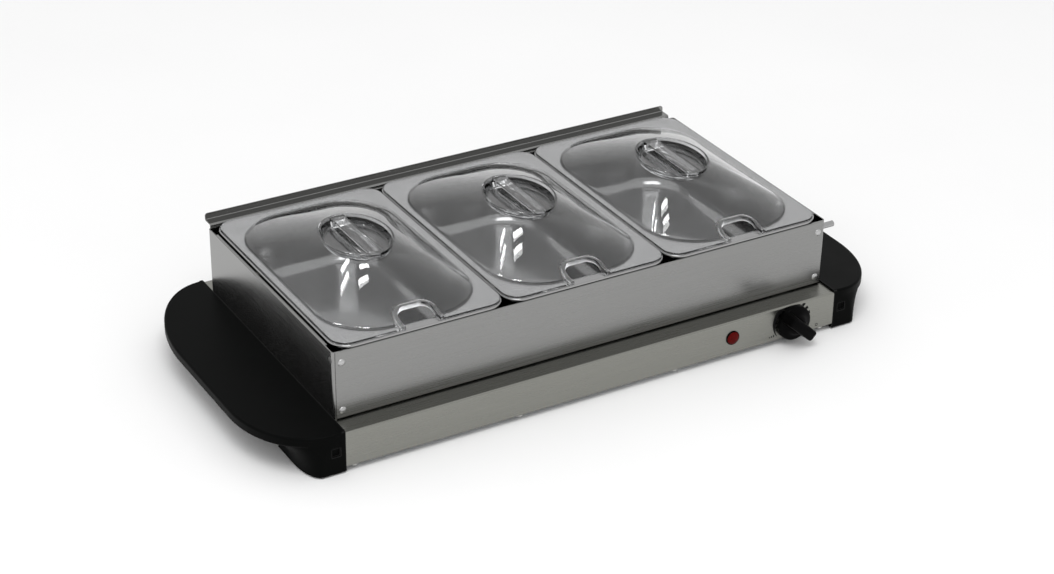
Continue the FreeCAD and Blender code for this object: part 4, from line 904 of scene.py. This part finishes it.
def make_bezel():
    """A narrow rim with a rounded face, turned round the lens."""
    low, high = millimetres("pilot_lamp_bezel")
    outer, rise = (high.x - low.x) / 2, fascia_y - low.y
    wall = outer - lens_radius
    section = ((lens_radius, 0), (outer, 0), (outer, rise * 0.5), (outer - wall * 0.3, rise * 0.9),
               (outer - wall * 0.6, rise), (lens_radius, rise * 0.8))
    bm = bmesh.new()
    rings = [add_ring(bm, turned_ring(radius, height, LAMP_STEPS)) for radius, height in section]
    for index, ring in enumerate(rings):
        bridge(bm, ring, rings[(index + 1) % len(rings)])
    make_piece(bm, "rounded_bezel", "pilot_lamp_bezel", ["pilot_lamp_bezel"], sharp=50, matrix=lamp_place)


make_lens()
make_bezel()


RIVET_HEAD = 3.3
RIVET_SHANK = 1.5
RIVET_REACH = 2
RIVET_STEPS = 24
RIVET_DOME = ((0, 1.2), (1.1, 1.14), (2.0, 0.93), (2.7, 0.6), (3.15, 0.25))


def make_rivets():
    """Domed rivet heads at the corners of the front and rear panels, with their shanks."""
    low, high = millimetres("frame_rivets")
    front_y, rear_y = millimetres("frame_front_panel")[0].y, millimetres("frame_rear_panel")[1].y
    to_rear = Matrix.Rotation(-math.pi / 2, 4, "X")
    shank = ((RIVET_HEAD, 0), (RIVET_SHANK, 0), (RIVET_SHANK, -RIVET_REACH), (0, -RIVET_REACH))
    profile = RIVET_DOME + shank
    bm = bmesh.new()
    for x in (low.x + RIVET_HEAD, high.x - RIVET_HEAD):
        for z in (low.z + RIVET_HEAD, high.z - RIVET_HEAD):
            lathe(bm, profile, RIVET_STEPS, outward(x, front_y, z))
            lathe(bm, profile, RIVET_STEPS, Matrix.Translation((x, rear_y, z)) @ to_rear)
    make_piece(bm, "domed_rivets", "frame_rivets", ["frame_rivets"], sharp=60)


make_rivets()


# ---------------------------------------------------------------- stage

FLOOR_SIZE = 30
WORLD_STRENGTH = 0.85
KEY_PLACE = (-0.6, -0.9, 2.2)
KEY_TARGET = (0, 0, 0.05)
KEY_SIZE = (1.2, 1.2)
KEY_POWER = 19
WINDOW_TARGET = Vector((0, 0, 0.12))
WINDOW_DIRECTION = Vector((0.05, 0.526, 0.849))
WINDOW_ACROSS = Vector((0.85, -0.48, 0.23))
WINDOW_DISTANCE = 2.4
PANE_SIZE = (0.23, 0.06)
PANE_POWER = 1.0
PANE_ACROSS = 0.225
PANE_UP = 0.085
CAMERA_PLACE = (-0.9755, -1.67235, 1.1084)
CAMERA_TURN = math.radians(-30.314)
CAMERA_TILT = math.radians(61.17)
CAMERA_ROLL = math.radians(0.752)
CAMERA_LENS = 82.25
CAMERA_SHIFT = 0.0024


def floor_paper(name):
    """Matt pale paper with a barely visible mottle."""
    m = Nodes(name)
    grain = m.noise(4.0, detail=2.0)
    pale = m.tint(m.span(grain, 0.0, 1.0), (0.93, 0.93, 0.93), (0.945, 0.945, 0.945))
    m.join(pale, MIX_RESULT, m.shader, "Base Color")
    m.set(Roughness=0.9, Specular_IOR_Level=0.1)
    return m.material


def make_floor():
    """The plain pale floor that the server stands on."""
    bpy.ops.mesh.primitive_plane_add(size=FLOOR_SIZE)
    floor = bpy.context.object
    floor.name = "stage_floor"
    floor.data.materials.append(floor_paper("stage_floor"))


def make_light(name, place, target, size, power):
    """A rectangular lamp at a place, turned to face its target."""
    light = bpy.data.lights.new(name, "AREA")
    light.shape = "RECTANGLE"
    light.size, light.size_y = size
    light.energy = power
    item = bpy.data.objects.new(name, light)
    bpy.context.scene.collection.objects.link(item)
    item.location = place
    direction = Vector(target) - Vector(place)
    item.rotation_euler = direction.to_track_quat("-Z", "Y").to_euler()
    return item


def make_window(pieces):
    """Four small panels of light, two by two, that only the given pieces mirror."""
    lit = bpy.data.collections.new("mirrors_the_window")
    for piece in pieces:
        lit.objects.link(piece)
    up = WINDOW_DIRECTION.cross(WINDOW_ACROSS)
    middle = WINDOW_TARGET + WINDOW_DIRECTION * WINDOW_DISTANCE
    for column in (-1, 1):
        for row in (-1, 1):
            place = middle + WINDOW_ACROSS * PANE_ACROSS * column + up * PANE_UP * row
            pane = make_light(f"window_{column}_{row}", place, WINDOW_TARGET, PANE_SIZE, PANE_POWER)
            pane.light_linking.receiver_collection = lit


def make_world():
    """Even white light from all round."""
    world = bpy.data.worlds.new("studio")
    world.use_nodes = True
    background = world.node_tree.nodes["Background"]
    background.inputs["Color"].default_value = (1, 1, 1, 1)
    background.inputs["Strength"].default_value = WORLD_STRENGTH
    bpy.context.scene.world = world


def make_camera():
    """A camera in front of the server, to its left and above it."""
    camera = bpy.data.cameras.new("photo_camera")
    camera.lens = CAMERA_LENS
    camera.sensor_width = 36
    camera.shift_x = CAMERA_SHIFT
    item = bpy.data.objects.new("photo_camera", camera)
    bpy.context.scene.collection.objects.link(item)
    turn = Matrix.Rotation(CAMERA_TURN, 4, "Z")
    tilt = Matrix.Rotation(CAMERA_TILT, 4, "X")
    roll = Matrix.Rotation(CAMERA_ROLL, 4, "Z")
    item.matrix_world = Matrix.Translation(CAMERA_PLACE) @ turn @ tilt @ roll
    bpy.context.scene.camera = item


make_floor()
make_world()
make_light("key_light", KEY_PLACE, KEY_TARGET, KEY_SIZE, KEY_POWER)
make_window(lid_pieces)
make_camera()
bpy.context.scene.view_settings.view_transform = "Standard"
